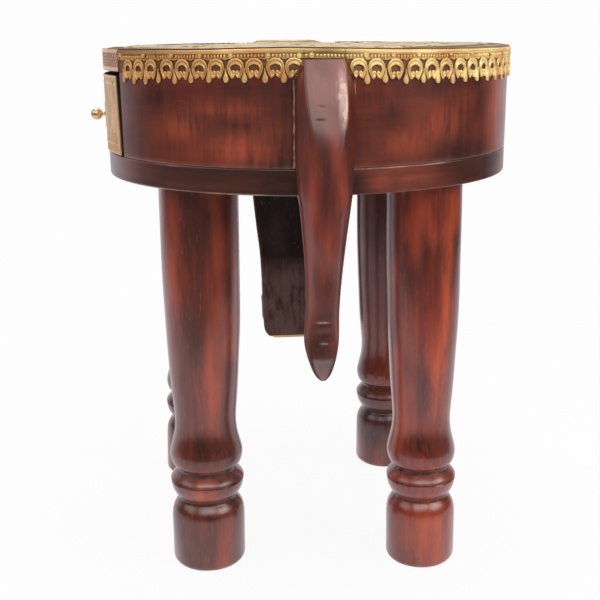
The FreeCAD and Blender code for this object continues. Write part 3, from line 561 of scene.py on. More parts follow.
# ---- Head and trunk ---------------------------------------------------------------------------
# One carved block on the front of the drum: a domed brow above, and a trunk that hangs almost to
# the knees and curls back at its tip. Its back was only stained, so it stays nearly black.
head_width, head_rise, head_reach, head_offset, trunk_drop = 86.0, 2.0, 49.0, -4.0, 276.0
seat_height = 380.0
head_top = seat_height + head_rise
trunk_stain = lacquered_sheesham(
    "sheesham_trunk_black_lacquer", "#150b09", "#21130f", "#301b16", "#705650", patch_share=0.1,
    rough=0.55, coat=0.0, worn_and_sheen="#6d4a3f", gloss=0.22)
trunk_stations = (
    (0.000, 0.62, 0.46, -0.24, 0.10, 0.36), (0.012, 0.80, 0.56, -0.24, 0.22, 0.58),
    (0.060, 0.92, 0.60, -0.24, 0.36, 0.80), (0.150, 1.00, 0.60, -0.24, 0.44, 0.96),
    (0.230, 1.00, 0.56, -0.24, 0.46, 1.00), (0.300, 0.91, 0.54, -0.24, 0.44, 0.90),
    (0.345, 0.84, 0.54, 0.02, 0.42, 0.82), (0.420, 0.81, 0.54, 0.04, 0.40, 0.76),
    (0.500, 0.775, 0.53, 0.08, 0.40, 0.72), (0.625, 0.70, 0.48, 0.14, 0.42, 0.69),
    (0.710, 0.64, 0.44, 0.17, 0.42, 0.66), (0.795, 0.615, 0.43, 0.14, 0.38, 0.62),
    (0.860, 0.61, 0.43, 0.06, 0.30, 0.54), (0.925, 0.60, 0.42, -0.06, 0.18, 0.42),
    (0.970, 0.585, 0.40, -0.14, 0.08, 0.32), (0.992, 0.50, 0.34, -0.14, 0.04, 0.24),
    (1.000, 0.37, 0.26, -0.10, 0.02, 0.16),
)
points, wear, rows, columns = carving(
    trunk_stations, lambda drop: head_top - drop * (trunk_drop + head_rise),
    lambda drop: head_offset, head_width / 2, lambda share: drum_radius + share * head_reach,
    lambda drop: 3.0, 8)
points = clear_of_drum(points)
# Below 182 mm the back is painted paler and greyer, more so towards the tip
make_piece("carved_head_and_trunk", points, skin(rows, columns), trunk_stain,
           replaces=["head_and_trunk"], sharp=50, wear=wear * 0.3,
           grain=points[:, [2, 0, 1]] + np.array([1400, 0, 0]),
           wiped=1.15 * np.clip((182 - points[:, 2]) / 26, 0, 1))
trunk_rings = points.reshape(rows, columns, 3)

# ---- Brass on the trunk -----------------------------------------------------------------------
# Thin brass sheet, pressed with a floral row, nailed down the front of the trunk, and a cap of the
# same sheet bent round its tip. The hollows keep a brown patina and the ridges are rubbed bright.
def pressed_brass(name, ridge, hollow, tint, rough=0.36, bare=1.0):
    """Pressed sheet brass, aged: a metal with brown in its hollows and a warm drift of colour.
    Where bare is below one, a matt film of old lacquer covers part of it."""
    made, tree = new_material(name)
    place = add(tree, "TexCoord").outputs["Object"]
    relief = add(tree, "Attribute", attribute_name="relief").outputs["Fac"]
    blush = add(tree, "Attribute", attribute_name="blush").outputs["Fac"]
    # Colour drifts over about 25 mm, as lacquer wears off the brass
    drift = add(tree, "TexNoise", {"Vector": place, "Scale": 40.0, "Detail": 3.0})
    # Grain of the rolled sheet, 0.2 mm in life and drawn at 1.5 mm
    grit = add(tree, "TexNoise", {"Vector": place, "Scale": 650.0, "Detail": 2.0})
    metal = add(tree, "ValToRGB", {"Fac": relief}, stops=[(0.12, hollow), (0.70, ridge)])
    drift_mask = add(tree, "MapRange", {"Value": drift}, span=(0.38, 0.64, 0.0, 0.8))
    pinker = add(tree, "Math", {0: drift_mask, 1: blush}, operation="ADD", use_clamp=True)
    tinted = add(tree, "Mix", {0: pinker, 6: metal, 7: linear(tint)}, data_type="RGBA",
                 blend_type="MULTIPLY")
    roughness = add(tree, "MapRange", {"Value": relief}, span=(0.0, 0.8, rough + 0.25, rough))
    bump = add(tree, "Bump", {"Height": grit, "Strength": 0.5, "Distance": 0.0003})
    shader = add(tree, "BsdfPrincipled", {
        "Base Color": tinted.outputs[2], "Metallic": bare, "Roughness": roughness, "Normal": bump})
    add(tree, "OutputMaterial", {"Surface": shader})
    return made


def dress(node, material):
    """Gives a CAD piece that stays as it is its finish."""
    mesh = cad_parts[node].data
    mesh.materials.clear()
    mesh.materials.append(material)


# Sheet brass rolled by the makers and planished, so it is dimpled all over about every 4 mm
plain_brass, tree = new_material("rolled_brass_sheet")
place = add(tree, "TexCoord").outputs["Object"]
dimples = add(tree, "TexVoronoi", {"Vector": place, "Scale": 230.0}, feature="SMOOTH_F1")
drift = add(tree, "TexNoise", {"Vector": place, "Scale": 35.0, "Detail": 3.0})
shade = add(tree, "ValToRGB", {"Fac": drift}, stops=[(0.35, "#a07a42"), (0.65, "#d2ae6c")])
pressed = add(tree, "Bump", {"Height": dimples, "Strength": 0.8, "Distance": 0.0012})
shader = add(tree, "BsdfPrincipled", {
    "Base Color": shade, "Metallic": 1.0, "Roughness": 0.36, "Normal": pressed})
add(tree, "OutputMaterial", {"Surface": shader})
dress("trunk_cap", plain_brass)
# The cap's sheet is folded under the tip and a little way up its back
tip_rings = trunk_rings[trunk_rings[:, 0, 2] < head_top - trunk_drop + 2.4 - head_rise]
away = tip_rings - tip_rings.mean(axis=1, keepdims=True)
away[:, :, 2] = 0
away /= np.linalg.norm(away, axis=2, keepdims=True)
outside, inside = tip_rings + 0.5 * away, tip_rings - 0.1 * away
outside[-1, :, 2] -= 0.45
inside[-1, :, 2] += 0.1
lap = np.concatenate([inside[::-1], outside])
make_piece("trunk_cap_lap", lap.reshape(-1, 3), skin(len(lap), columns), plain_brass,
           slot="pressed_brass", sharp=50)


def petals(turns, radii, count, inner, outer, phase=0.0, lobe=0.8):
    """A ring of petals between two radii: how high each place stands, from 0 to 1."""
    across = np.abs(np.mod(turns * count / (2 * math.pi) + phase, 1.0) - 0.5) * 2
    along = np.clip((radii - inner) / (outer - inner), 0, 1)
    wide = 0.96 * np.sin(math.pi * along ** lobe) ** 0.6
    body = np.clip(1 - (across / np.maximum(wide, 1e-3)) ** 2, 0, 1) ** 0.6
    vein = np.clip(1 - across * 9, 0, 1) * (along > 0.12) * (along < 0.85)
    return np.where((along > 0) & (along < 1), body * (1 - 0.45 * vein), 0.0)


def rope(values, middle, half):
    """A raised round line at one radius or level."""
    return np.sqrt(np.clip(1 - ((values - middle) / half) ** 2, 0, 1))


def beads(run, off):
    """A row of pressed beads: run counts them along it, and off is in half widths across it."""
    return np.sqrt(np.clip(1 - off ** 2 - (np.mod(run, 1) - 0.5) ** 2 * 5, 0, 1))


def pressed_panel(face, thickness):
    """A thin sheet from a grid of points on its pressed face, and the step down to its back."""
    rows, columns = face.shape[:2]
    points = np.vstack([face.reshape(-1, 3), (face - thickness).reshape(-1, 3)])
    second = rows * columns
    faces = skin(rows, columns, close=False, caps=False)
    faces += skin(rows, columns, first=second, close=False, caps=False)
    rim = list(range(columns)) + [row * columns + columns - 1 for row in range(1, rows)]
    rim += [second - 1 - i for i in range(1, columns)]
    rim += [row * columns for row in range(rows - 2, 0, -1)]
    faces += [(a, b, b + second, a + second) for a, b in zip(rim, rim[1:] + rim[:1])]
    return points, faces


# Flowers in a row down the middle, leaves between them, and a beaded border at each side
trunk_brass = pressed_brass("pressed_brass_trunk", "#d6b070", "#5c4420", "#ecd8c0", rough=0.38,
                            bare=0.8)
sheet_low, sheet_high = head_top - 0.87 * trunk_drop + 0.5, head_top - 0.05 * trunk_drop
sheet_half, flowers = 21.5, 9
x, z = np.meshgrid(np.linspace(-sheet_half, sheet_half, 97),
                   np.linspace(sheet_high, sheet_low, 400))
run = through(np.array(trunk_stations), 8)
drops = (head_top - z) / (trunk_drop + head_rise)
half_wide, half_face, side_reach, front_reach = (
    np.interp(drops, run[:, 0], run[:, column]) * size for column, size in (
        (1, head_width / 2), (2, head_width / 2), (4, head_reach), (5, head_reach)))
bent = np.clip((np.abs(x) - half_face) / (half_wide - half_face), 0, 1)
y = drum_radius + 0.75 + front_reach - bent * (front_reach - side_reach)
pitch = (sheet_high - sheet_low - 5) / flowers
off = np.mod(sheet_high - 2.5 - z, pitch) - pitch / 2
away, turn = np.hypot(x, off), np.arctan2(off, x)
relief = 0.95 * petals(turn, away, 8, 2.2, 10.6, lobe=0.7) + 0.8 * rope(away, 0.0, 2.4)
between = np.mod(sheet_high - 2.5 - z + pitch / 2, pitch) - pitch / 2
for lean in (-1, 1):
    along, across = np.abs(x) * 0.8 + lean * between * 0.6, np.abs(x) * 0.6 - lean * between * 0.8
    leaf = np.clip(1 - ((along - 6.5) / 6.2) ** 2 - ((across - 2.4) / 2.3) ** 2, 0, 1) ** 0.5
    relief = np.maximum(relief, 0.8 * leaf * (np.abs(x) < 14))
edge = np.minimum(sheet_high - z, z - sheet_low)
relief = np.maximum(relief * (edge > 2.6), 0.8 * rope(edge, 1.5, 0.9))
for line in (15.4, 20.2):
    relief = np.maximum(relief, 0.8 * rope(np.abs(x), line, 0.8))
relief = np.maximum(relief, 0.85 * beads(z / 3.2, (np.abs(x) - 17.8) / 1.5))
points, faces = pressed_panel(np.stack([x + head_offset, y + 0.9 * relief, z], 2),
                              np.array([0, 0.5, 0]))
make_piece("trunk_sheet_pressed", points, faces, trunk_brass, replaces=["trunk_sheet"],
           slot="pressed_brass", sharp=75, relief=np.tile(relief.ravel(), 2))

# ---- Seat sheet -------------------------------------------------------------------------------
# A disc of thin brass sheet, pressed with rings of petals round a flower and nailed down over the
# top board. Seen along its face it shows as a pale uneven line above the rolled edge.
seat_brass = pressed_brass("pressed_brass_seat", "#c6b896", "#6a5a3e", "#e2d4bb", rough=0.46,
                           bare=0.8)
board_top, sheet_edge, around_seat = 379.4, 149.6, 540
seat_rings = np.concatenate([np.linspace(0.6, 66, 88), np.linspace(66.7, sheet_edge, 112)])
seat_turns = np.linspace(0, 2 * math.pi, around_seat, endpoint=False)
radii, turns = np.meshgrid(seat_rings, seat_turns, indexing="ij")
share = turns / (2 * math.pi)
wave = np.sin(turns * 18)
scroll = np.clip(1 - np.abs(radii - 98 - 6.5 * wave) / 1.9, 0, 1) ** 0.6
buds = np.clip(1 - ((radii - 98 + 5.5 * wave) / 3.4) ** 2
               - (np.mod(share * 36 + 0.5, 1) - 0.5) ** 2 * 9, 0, 1) ** 0.5
# From the flower in the middle to the rim: rings of petals between plain and beaded lines
relief = np.maximum.reduce([
    0.95 * petals(turns, radii, 12, 5, 24) + 0.8 * rope(radii, 2.0, 3.2),
    0.75 * petals(turns, radii, 12, 15, 31, phase=0.5),
    0.7 * rope(radii, 34.0, 1.5),
    0.9 * beads(share * 54, (radii - 38.6) / 2.2),
    0.7 * rope(radii, 43.2, 1.5),
    petals(turns, radii, 24, 46, 76, lobe=0.62),
    0.8 * petals(turns, radii, 24, 60, 84, phase=0.5, lobe=0.55),
    0.75 * rope(radii, 87.4, 1.6),
    np.maximum(0.75 * scroll, 0.9 * buds) * (radii > 89) * (radii < 108),
    0.75 * rope(radii, 109.4, 1.6),
    0.95 * petals(turns, radii, 40, 112, 131, lobe=0.55),
    0.8 * beads(share * 160, (radii - 134.4) / 2.1)])
# The sheet lies a little loose and was dented by use
loose = 0.6 * (np.sin(radii / 17 + 2 * turns) * np.sin(9 * turns + 1)
               + 0.6 * np.sin(radii / 31 - 5 * turns)
               + 0.5 * np.sin(23 * turns + 2) * np.clip(radii / drum_radius, 0, 1) ** 4)
rim_fall = np.clip((drum_radius - radii) / 3, 0, 1)
heights = seat_height + 0.1 + rim_fall * (1.1 * relief + 0.6 * loose)
grid = np.stack([radii * np.cos(turns), radii * np.sin(turns), heights], 2).reshape(-1, 3)
under = np.stack([sheet_edge * np.cos(seat_turns), sheet_edge * np.sin(seat_turns),
                  np.full(around_seat, board_top - 0.02)], 1)
rim = (len(seat_rings) - 1) * around_seat
faces = skin(len(seat_rings), around_seat, caps=False)
faces += skin(2, around_seat, first=rim, caps=False)
faces += [tuple(range(around_seat)), tuple(range(rim + around_seat, rim + 2 * around_seat))]
# The patina is thicker by the drawer, and the turned-down edge is rubbed
patina = 1 - 0.7 * patches(np.degrees(turns).ravel(), radii.ravel(), ((-146, 150, 26, 40, 1.0),))
edge_relief = 0.7
shown = np.where(radii.ravel() > 147.5, edge_relief, relief.ravel() * patina)
make_piece("seat_sheet_pressed", np.vstack([grid, under]), faces, seat_brass,
           replaces=["seat_sheet"], slot="pressed_brass", sharp=75,
           relief=np.concatenate([shown, np.full(around_seat, edge_relief)]))

# The crown of the head stands a little over the seat and is sheathed in the same sheet, domed a
# little to one side and lapped over the seat's rim
crown_half, crown_near = 0.71 * head_width / 2, drum_radius - 0.7
crown_far = drum_radius + 0.40 * head_reach
across, along = np.meshgrid(np.linspace(-1, 1, 61), np.linspace(0, 1, 33))
x = across * crown_half
near = np.sqrt(crown_near ** 2 - (x + head_offset) ** 2)
y = near + (crown_far - near) * along ** 1.4
wood_top = (head_top - 0.43 * np.maximum(np.abs(x) - 26.2, 0)
            - 0.31 * np.maximum(y - drum_radius - 17.0, 0))
dome = np.exp(-((across + 0.30) / 0.75) ** 2) * np.clip(1 - (2 * along - 1.0) ** 2, 0, 1)
dent = 0.06 * np.sin(x * 0.9 + y * 0.5) * np.sin(y * 1.1 - x * 0.3)
crown_line = rope(np.maximum(np.abs(x) - 21.0, np.abs(y - drum_radius - 9.0) - 6.0), 1.5, 0.9)
lap_height, lifted = seat_height + 0.8, 1 - np.exp((near - y) / 0.8)
z = lap_height + (wood_top + 0.40 + 0.5 * dome + dent + 0.4 * crown_line - lap_height) * lifted
points, faces = pressed_panel(np.stack([x + head_offset, y, z], 2), np.array([0, 0, 0.3]))
make_piece("head_crown_sheet", points, faces, seat_brass, slot="pressed_brass", sharp=60,
           relief=np.tile((0.45 + 0.4 * crown_line).ravel(), 2))

# ---- Rim lace ---------------------------------------------------------------------------------
# Strips of pressed brass lace bent round the rim: a rolled edge, a row of beads, and a fringe of
# horseshoes with curled buds and hanging drops. Their ends are cut aslant beside the tail.
lace_brass = pressed_brass("pressed_brass_lace", "#ffe09a", "#60421e", "#dcbfb0", rough=0.42,
                           bare=0.55)
roll_low, bead_low = 377.5, 374.7
chance = np.random.default_rng(7)
# The top board is planed mango, stained brown at its edge, which shows through the lace
board_wood = lacquered_sheesham(
    "planed_mango_top_board", "#4c2f12", "#6c441b", "#815426", "#74481f", patch_share=0.4,
    rough=0.6, coat=0.0, own_grain=False)
dress("top_board", board_wood)


class Pressing:
    """Gathers pressed shapes, each a closed skin, in flat places: along the rim, level, height."""

    def __init__(self):
        self.points, self.faces, self.relief = [], [], []

    def take(self, points, faces, relief, at=(0, 0, 0), turn=0.0, size=1.0):
        first = len(self.points)
        c, s = math.cos(turn) * size, math.sin(turn) * size
        for u, v, h in points:
            self.points.append((u * c - v * s + at[0], u * s + v * c + at[1], h + at[2]))
        self.faces += [tuple(i + first for i in face) for face in faces]
        self.relief += list(relief)


def bent_bar(line, halves, section):
    """A moulded bar along a flat line: section is across share against height."""
    line = np.asarray(line, float)
    run = np.gradient(line, axis=0)
    run /= np.linalg.norm(run, axis=1)[:, None]
    tallest = max(height for _, height in section)
    points, relief = [], []
    for (u, v), (du, dv), half in zip(line, run, halves):
        for across, height in section:
            points.append((u - dv * across * half, v + du * across * half, height))
            relief.append(height / tallest)
    return points, skin(len(line), len(section)), relief


def button(half_u, half_v, rings, columns=12):
    """A small raised shape: rings of share against height, from its foot to its middle."""
    tallest = max(height for _, height in rings)
    points, relief = [], []
    for share, height in rings:
        for turn in np.linspace(0, 2 * math.pi, columns, endpoint=False):
            points.append((half_u * share * math.cos(turn), half_v * share * math.sin(turn),
                           height))
            relief.append(height / tallest)
    return points, skin(len(rings), columns), relief


moulding = [(-1, 0.0), (-1, 0.6), (-0.85, 1.1), (-0.62, 1.2), (-0.38, 0.8), (-0.1, 0.62),
            (0.18, 0.7), (0.45, 1.05), (0.68, 1.4), (0.88, 1.2), (1, 0.6), (1, 0.0)]
shoe_line = through([
    (-2.3, -11.7), (-2.95, -10.2), (-3.95, -7.9), (-4.5, -5.6), (-3.85, -3.5), (-2.2, -2.15),
    (0, -1.6), (2.2, -2.15), (3.85, -3.5), (4.5, -5.6), (3.95, -7.9), (2.95, -10.2),
    (2.3, -11.7)], 3)
shoe_halves = np.interp(np.linspace(0, 1, len(shoe_line)), np.linspace(0, 1, 11),
                        [0.55, 0.9, 1.1, 1.3, 1.9, 1.9, 1.9, 1.3, 1.1, 0.9, 0.55])
horseshoe = bent_bar(shoe_line[::-1], shoe_halves, moulding)
bud = button(1.55, 2.3, [(1, 0), (1, 0.6), (0.86, 1.05), (0.62, 1.15), (0.42, 0.85), (0.2, 0.7),
                         (0.05, 0.72)])
bead = button(0.72, 1.3, [(1, 0), (0.98, 0.55), (0.75, 1.0), (0.35, 1.2), (0.05, 1.25)], 8)
rosette = button(1.9, 2.0, [(1, 0), (1, 0.8), (0.8, 1.35), (0.5, 1.25), (0.35, 1.6), (0.1, 1.8)])
drop_line = [(0, v) for v in (-5.6, -6.9, -8.2, -9.3, -10.3, -11.2, -12.2, -13.1, -13.8, -14.1)]
drop = bent_bar(drop_line, [0.3, 0.42, 0.7, 1.15, 1.65, 2.0, 2.1, 1.85, 1.2, 0.45],
                [(-1, 0.0), (-0.95, 0.6), (-0.7, 1.15), (-0.35, 1.45), (0, 1.55), (0.35, 1.45),
                 (0.7, 1.15), (0.95, 0.6), (1, 0.0)])
swag = bent_bar(through([(-2.7, -0.1), (-1.4, -0.85), (0, -1.15), (1.4, -0.85), (2.7, -0.1)], 3),
                np.interp(np.linspace(0, 1, 13), [0, 0.5, 1], [0.12, 0.5, 0.12]),
                [(-1, 0.0), (-0.8, 0.7), (0, 1.05), (0.8, 0.7), (1, 0.0)])
# The rim's section as level against height: the beads' band, the roll, and the flute over it,
# painted dark as the shadow line under the seat sheet's edge
band_face = [(374.6, 0.0), (374.6, 0.7), (374.85, 0.8), (375.05, 0.45), (377.0, 0.42),
             (377.2, 0.75), (377.35, 0.3)]
roll_bulge = [(377.4, 0.3), (377.6, 1.05), (378.1, 1.6), (378.8, 1.85), (379.5, 1.65),
              (380.0, 1.15), (380.2, 0.75)]
flute = [(380.3, 0.6), (381.0, 0.45), (381.1, 0.2), (380.9, -1.4), (380.0, -1.6)]
rim_profile = band_face + roll_bulge + flute
# The strip was nailed on by eye: angle, how far it lies off its true level, and how much its fringe
# is drawn out
nailed = np.array([
    (-152, -0.8, 1.09), (-143, -0.6, 1.085), (-135, -0.1, 1.075), (-128, 0.0, 1.06),
    (-120, 0.1, 1.04), (-112, 0.5, 1.035), (-100, 0.8, 1.035), (-95, 0.6, 1.035),
    (-86, 0.1, 1.04), (-79, -0.3, 1.06), (-74, -0.7, 1.07), (-68, -0.9, 1.075),
    (-56, -1.35, 1.08), (-49, -1.6, 1.08), (-35, -1.7, 1.075), (-10, -1.2, 1.05),
    (30, -0.5, 1.02), (74, 0.0, 1.0)])


def sag(turns):
    """How far above its true level the strip lies, at angles in radians."""
    return np.interp(np.degrees(turns), nailed[:, 0], nailed[:, 1])


def rim_band(pressing, start, end):
    """The backing of the bead row with the rolled edge over it, from one angle to another."""
    steps_per_degree = 1.4
    steps = max(4, int(abs(end - start) * steps_per_degree))
    points, relief = [], []
    for angle in np.linspace(start, end, steps + 1):
        turn, off_tail = math.radians(angle), angle + 90
        u = turn * drum_radius
        # The roll is darker by the drawer and over the tail, and brighter away from them
        bright = float(np.interp(math.cos(turn), (-0.85, -0.5, 0.1, 0.27, 0.45),
                                 (0.35, 0.69, 0.69, 0.72, 0.84)))
        bright *= (1 - 0.35 * math.exp(-(off_tail / 13) ** 4)
                   - 0.3 * math.exp(-(off_tail / 3.5) ** 2))
        dent = 0.13 * math.sin(u / 7.3) * math.sin(u / 19.1 + 1) + 0.08 * math.sin(u / 3.1)
        for level, height in rim_profile:
            on_roll = level > roll_low
            points.append((u, level + (0.12 * math.sin(u / 23) if on_roll else 0),
                           height + (dent if on_roll and height > 0.4 else 0)))
            # The roll's upper side is painted darker than its face, and the flute near black, as
            # the shadow under the seat sheet's edge
            shine = bright * (0.8 if level > 379.3 else 1)
            relief.append(0.05 if (level, height) in flute else shine if on_roll
                          else min(1.0, height * 0.9))
    pressing.take(points, skin(steps + 1, len(rim_profile)), relief)


def bead_row(pressing, start, end, knots):
    """Small upright beads along the band, with a larger rosette at each knot."""
    middle, bead_pitch = bead_low + 1.45, 2.2
    u, last = math.radians(start) * drum_radius + 1.3, math.radians(end) * drum_radius - 1.2
    knots = [math.radians(k) * drum_radius for k in knots]
    while u < last:
        if all(abs(u - k) > 2.3 for k in knots):
            pressing.take(*bead, at=(u, middle + chance.uniform(-0.12, 0.12), 0.3),
                          turn=chance.uniform(-0.1, 0.1), size=chance.uniform(0.92, 1.06))
        u += bead_pitch
    for k in knots:
        # A rosette hides a tack, so it stays at the tack's true level
        pressing.take(*rosette, at=(k, middle + 0.7 - sag(k / drum_radius), 0.3),
                      size=chance.uniform(0.88, 1.0))


def fringe(pressing, angles, ends):
    """Horseshoes at their angles, with a drop between each two and at the strip's ends."""
    spots = [math.radians(a) * drum_radius for a in angles]
    for u in spots:
        tilt, size = chance.uniform(-0.05, 0.05), chance.uniform(0.97, 1.02)
        pressing.take(*horseshoe, at=(u, bead_low + 0.1, 0.05), turn=tilt, size=size)
        for side in (-1, 1):
            bud_level = bead_low - 8.9 + chance.uniform(-0.15, 0.15)
            pressing.take(*bud, at=(u + side * 1.6, bud_level, 0.1), turn=side * 0.25,
                          size=chance.uniform(0.92, 1.04))
    hangs = [(a + b) / 2 for a, b in zip(spots, spots[1:])]
    for u in hangs + [math.radians(e) * drum_radius for e in ends]:
        pressing.take(*drop, at=(u, bead_low + chance.uniform(-0.2, 0.2), 0.05),
                      turn=chance.uniform(-0.06, 0.06), size=chance.uniform(0.96, 1.03))
        pressing.take(*swag, at=(u, bead_low + 0.75, 0.1))


def cut_aslant(pressing, cut):
    """Cuts the flat strip along a line and closes it: two points of angle and level, and the side
    that falls away."""
    flat = bmesh.new()
    layer = flat.verts.layers.float.new("relief")
    made = [flat.verts.new(p) for p in pressing.points]
    for vertex, value in zip(made, pressing.relief):
        vertex[layer] = value
    for face in pressing.faces:
        flat.faces.new([made[i] for i in face])
    (a, level_a), (b, level_b), side = cut
    a, b = math.radians(a) * drum_radius, math.radians(b) * drum_radius
    normal = Vector((level_b - level_a, a - b, 0)).normalized()
    normal *= side if normal.x > 0 else -side
    bmesh.ops.bisect_plane(flat, geom=flat.verts[:] + flat.edges[:] + flat.faces[:], dist=1e-4,
                           plane_co=(a, level_a, 0), plane_no=normal, clear_outer=True)
    bmesh.ops.holes_fill(flat, edges=[e for e in flat.edges if e.is_boundary], sides=0)
    flat.verts.index_update()
    pressing.points = [tuple(v.co) for v in flat.verts]
    pressing.relief = [v[layer] for v in flat.verts]
    pressing.faces = [tuple(v.index for v in f.verts) for f in flat.faces]
    flat.free()


def lace_piece(name, pressing, replaces):
    """Bends the flat strip round the drum, after the way it was nailed on, and makes it a piece."""
    flat = np.array(pressing.points)
    turns, radii = flat[:, 0] / drum_radius, skin_radius + flat[:, 2]
    drawn = np.interp(np.degrees(turns), nailed[:, 0], nailed[:, 2])
    below_roll = np.maximum(roll_bulge[0][0] - flat[:, 1], 0)
    levels = flat[:, 1] + sag(turns) - (drawn - 1) * below_roll
    bent = np.stack([radii * np.cos(turns), radii * np.sin(turns), levels], 1)
    # The brass is pinker towards the drawer, and brighter and greener on the side away from it
    blush = np.clip(0.05 - 1.0 * np.cos(turns), 0, 1)
    relief = np.clip(pressing.relief + 0.2 * np.clip(np.cos(turns) + 0.2, 0, 1), 0, 1)
    make_piece(name, bent, pressing.faces, lace_brass, replaces=replaces, slot="pressed_brass",
               sharp=50, relief=relief, blush=blush)


# The back of the rim follows the photograph strip by strip; the front goes on at the same pitch.
# Each strip: start and end, horseshoes, drops at its ends, rosettes and the cut, all in degrees
strips = (
    ("lace_by_drawer", -152.6, -134.5, (-146.9, -141.9, -136.9), (-149.4,), (-150.6, -139.4), None),
    ("lace_hind_left", -134.3, -95.6,
     (-131.2, -126.3, -121.2, -116.8, -111.9, -107.3, -102.3, -97.7), (-134.0,),
     (-129.5, -121.0, -112.9, -103.9, -96.6), ((-95.7, 374.2), (-98.85, 359.8), 1)),
    ("lace_right", -86.0, 74.6,
     (-82.8, -78.4, -73.4, -68.2, -63.3, -58.7, -53.8, -48.9, -43.8, -38.8, -33.4,
      *np.linspace(-28.6, 71.9, 22)), (74.2,),
     (-81.0, -74.2, -67.3, -57.5, -49.4, -40.3, -31.0, *np.linspace(-22, 70, 11)),
     ((-85.7, 374.2), (-83.1, 361.5), -1)),
    ("lace_fore_left", 108.6, 152.6, tuple(np.linspace(111.0, 149.9, 9)), (108.9, 152.2),
     (113.0, 121.5, 130.0, 138.0, 147.0), None),
    ("lace_over_tail", -95.5, -86.1, (), (), (-93.8,), None),
)
for name, start, end, angles, ends, knots, cut in strips:
    pressing = Pressing()
    rim_band(pressing, start, end)
    bead_row(pressing, start, end, knots)
    fringe(pressing, angles, ends)
    if cut:
        cut_aslant(pressing, cut)
    lace_piece(f"{name}_pressed", pressing, [name])

# ---- Header strip -----------------------------------------------------------------------------
# A plain curved strip over the drawer, pressed with fine pips in rows and with a smooth lower edge.
# Its brass is paler and pinker than the lace.
header_brass = pressed_brass("pressed_brass_header", "#e8cdb8", "#8c6b58", "#f4dcd4", rough=0.48,
                             bare=0.5)


def relief_band(places, levels, radius_at, height_at):
    """A thin curved sheet on the drum: rows along the rim of a closed section, pressed outwards."""
    points, relief = [], []
    tallest = max(height_at(p, z) for p in places for z in levels)
    for p in places:
        section = [(levels[0], -1)] + [(z, height_at(p, z)) for z in levels] + [(levels[-1], -1)]
        for z, height in section:
            turn = radius_at(p, z)
            radius = skin_radius + max(height, 0)
            points.append((radius * math.cos(turn), radius * math.sin(turn), z))
            relief.append(max(height, 0) / tallest)
    return points, skin(len(places), len(levels) + 2), relief


def header_face(u, z):
    """How far the strip stands out: rows of faint pips between a lower and an upper line."""
    pips = max(0.0, math.sin(u * math.pi / 2.1) * math.sin((z - 365.4) * math.pi / 1.9)) ** 0.7
    pips *= 0.65 + 0.35 * math.sin(u * 0.9 + z * 0.7) * math.sin(u * 0.37 - z * 1.3)
    band = 0.35 * math.sqrt(max(0.0, 1 - ((z - 367.0) / 1.5) ** 2))
    top = 0.35 * math.sqrt(max(0.0, 1 - ((z - 378.9) / 1.2) ** 2))
    return 0.6 + (0.45 * pips if 368.8 < z < 377.5 else 0.0) + band + top


header_half = math.radians(26.9) * drum_radius
points, faces, relief = relief_band(
    np.linspace(-header_half, header_half, 285), np.linspace(365.45, 379.95, 30),
    lambda u, z: math.pi + u / drum_radius, header_face)
make_piece("drawer_header_pressed", points, faces, header_brass, replaces=["drawer_header_strip"],
           slot="pressed_brass", sharp=75, relief=np.clip((np.array(relief) - 0.45) * 1.6, 0, 1))

# ---- Drawer -----------------------------------------------------------------------------------
# A small box drawer of plain wood behind a curved front, faced with pressed brass sheet. The front
# narrows a little to its top and leaves a dark gap all round.
drawer_wood = lacquered_sheesham(
    "sanded_mango_wood", "#9a714a", "#b78a5c", "#c79b6c", "#a97c50", patch_share=0.4, rough=0.6,
    coat=0.0, own_grain=False)
# The front's wood is painted near black and matt, as the shade it lies in under the header strip
shade_dark_front_wood = lacquered_sheesham(
    "sheesham_drawer_front", "#1c0e0b", "#2c1510", "#3a1b14", "#4a231a", patch_share=0.4,
    rough=0.55, coat=0.0, own_grain=False, gloss=0.15)
for node in ("drawer_side_hind", "drawer_side_fore", "drawer_back", "drawer_bottom",
             "drawer_guide_hind", "drawer_guide_fore", "drawer_stop", "base_dowels"):
    dress(node, drawer_wood)
dress("drawer_front", shade_dark_front_wood)
plate_brass = pressed_brass("pressed_brass_plate", "#e6cba8", "#b08f69", "#f2dacb", rough=0.48,
                            bare=0.5)
front_low, front_high = 310.0, 362.8
plate_low, plate_high = 308.2, front_high - 0.4
front_half = opening_half_width - 2.4
knob_level = (front_low + front_high) / 2 - 4.2


def plate_half(z):
    return front_half - 2.6 * (z - front_low) / (front_high - front_low) - 0.4


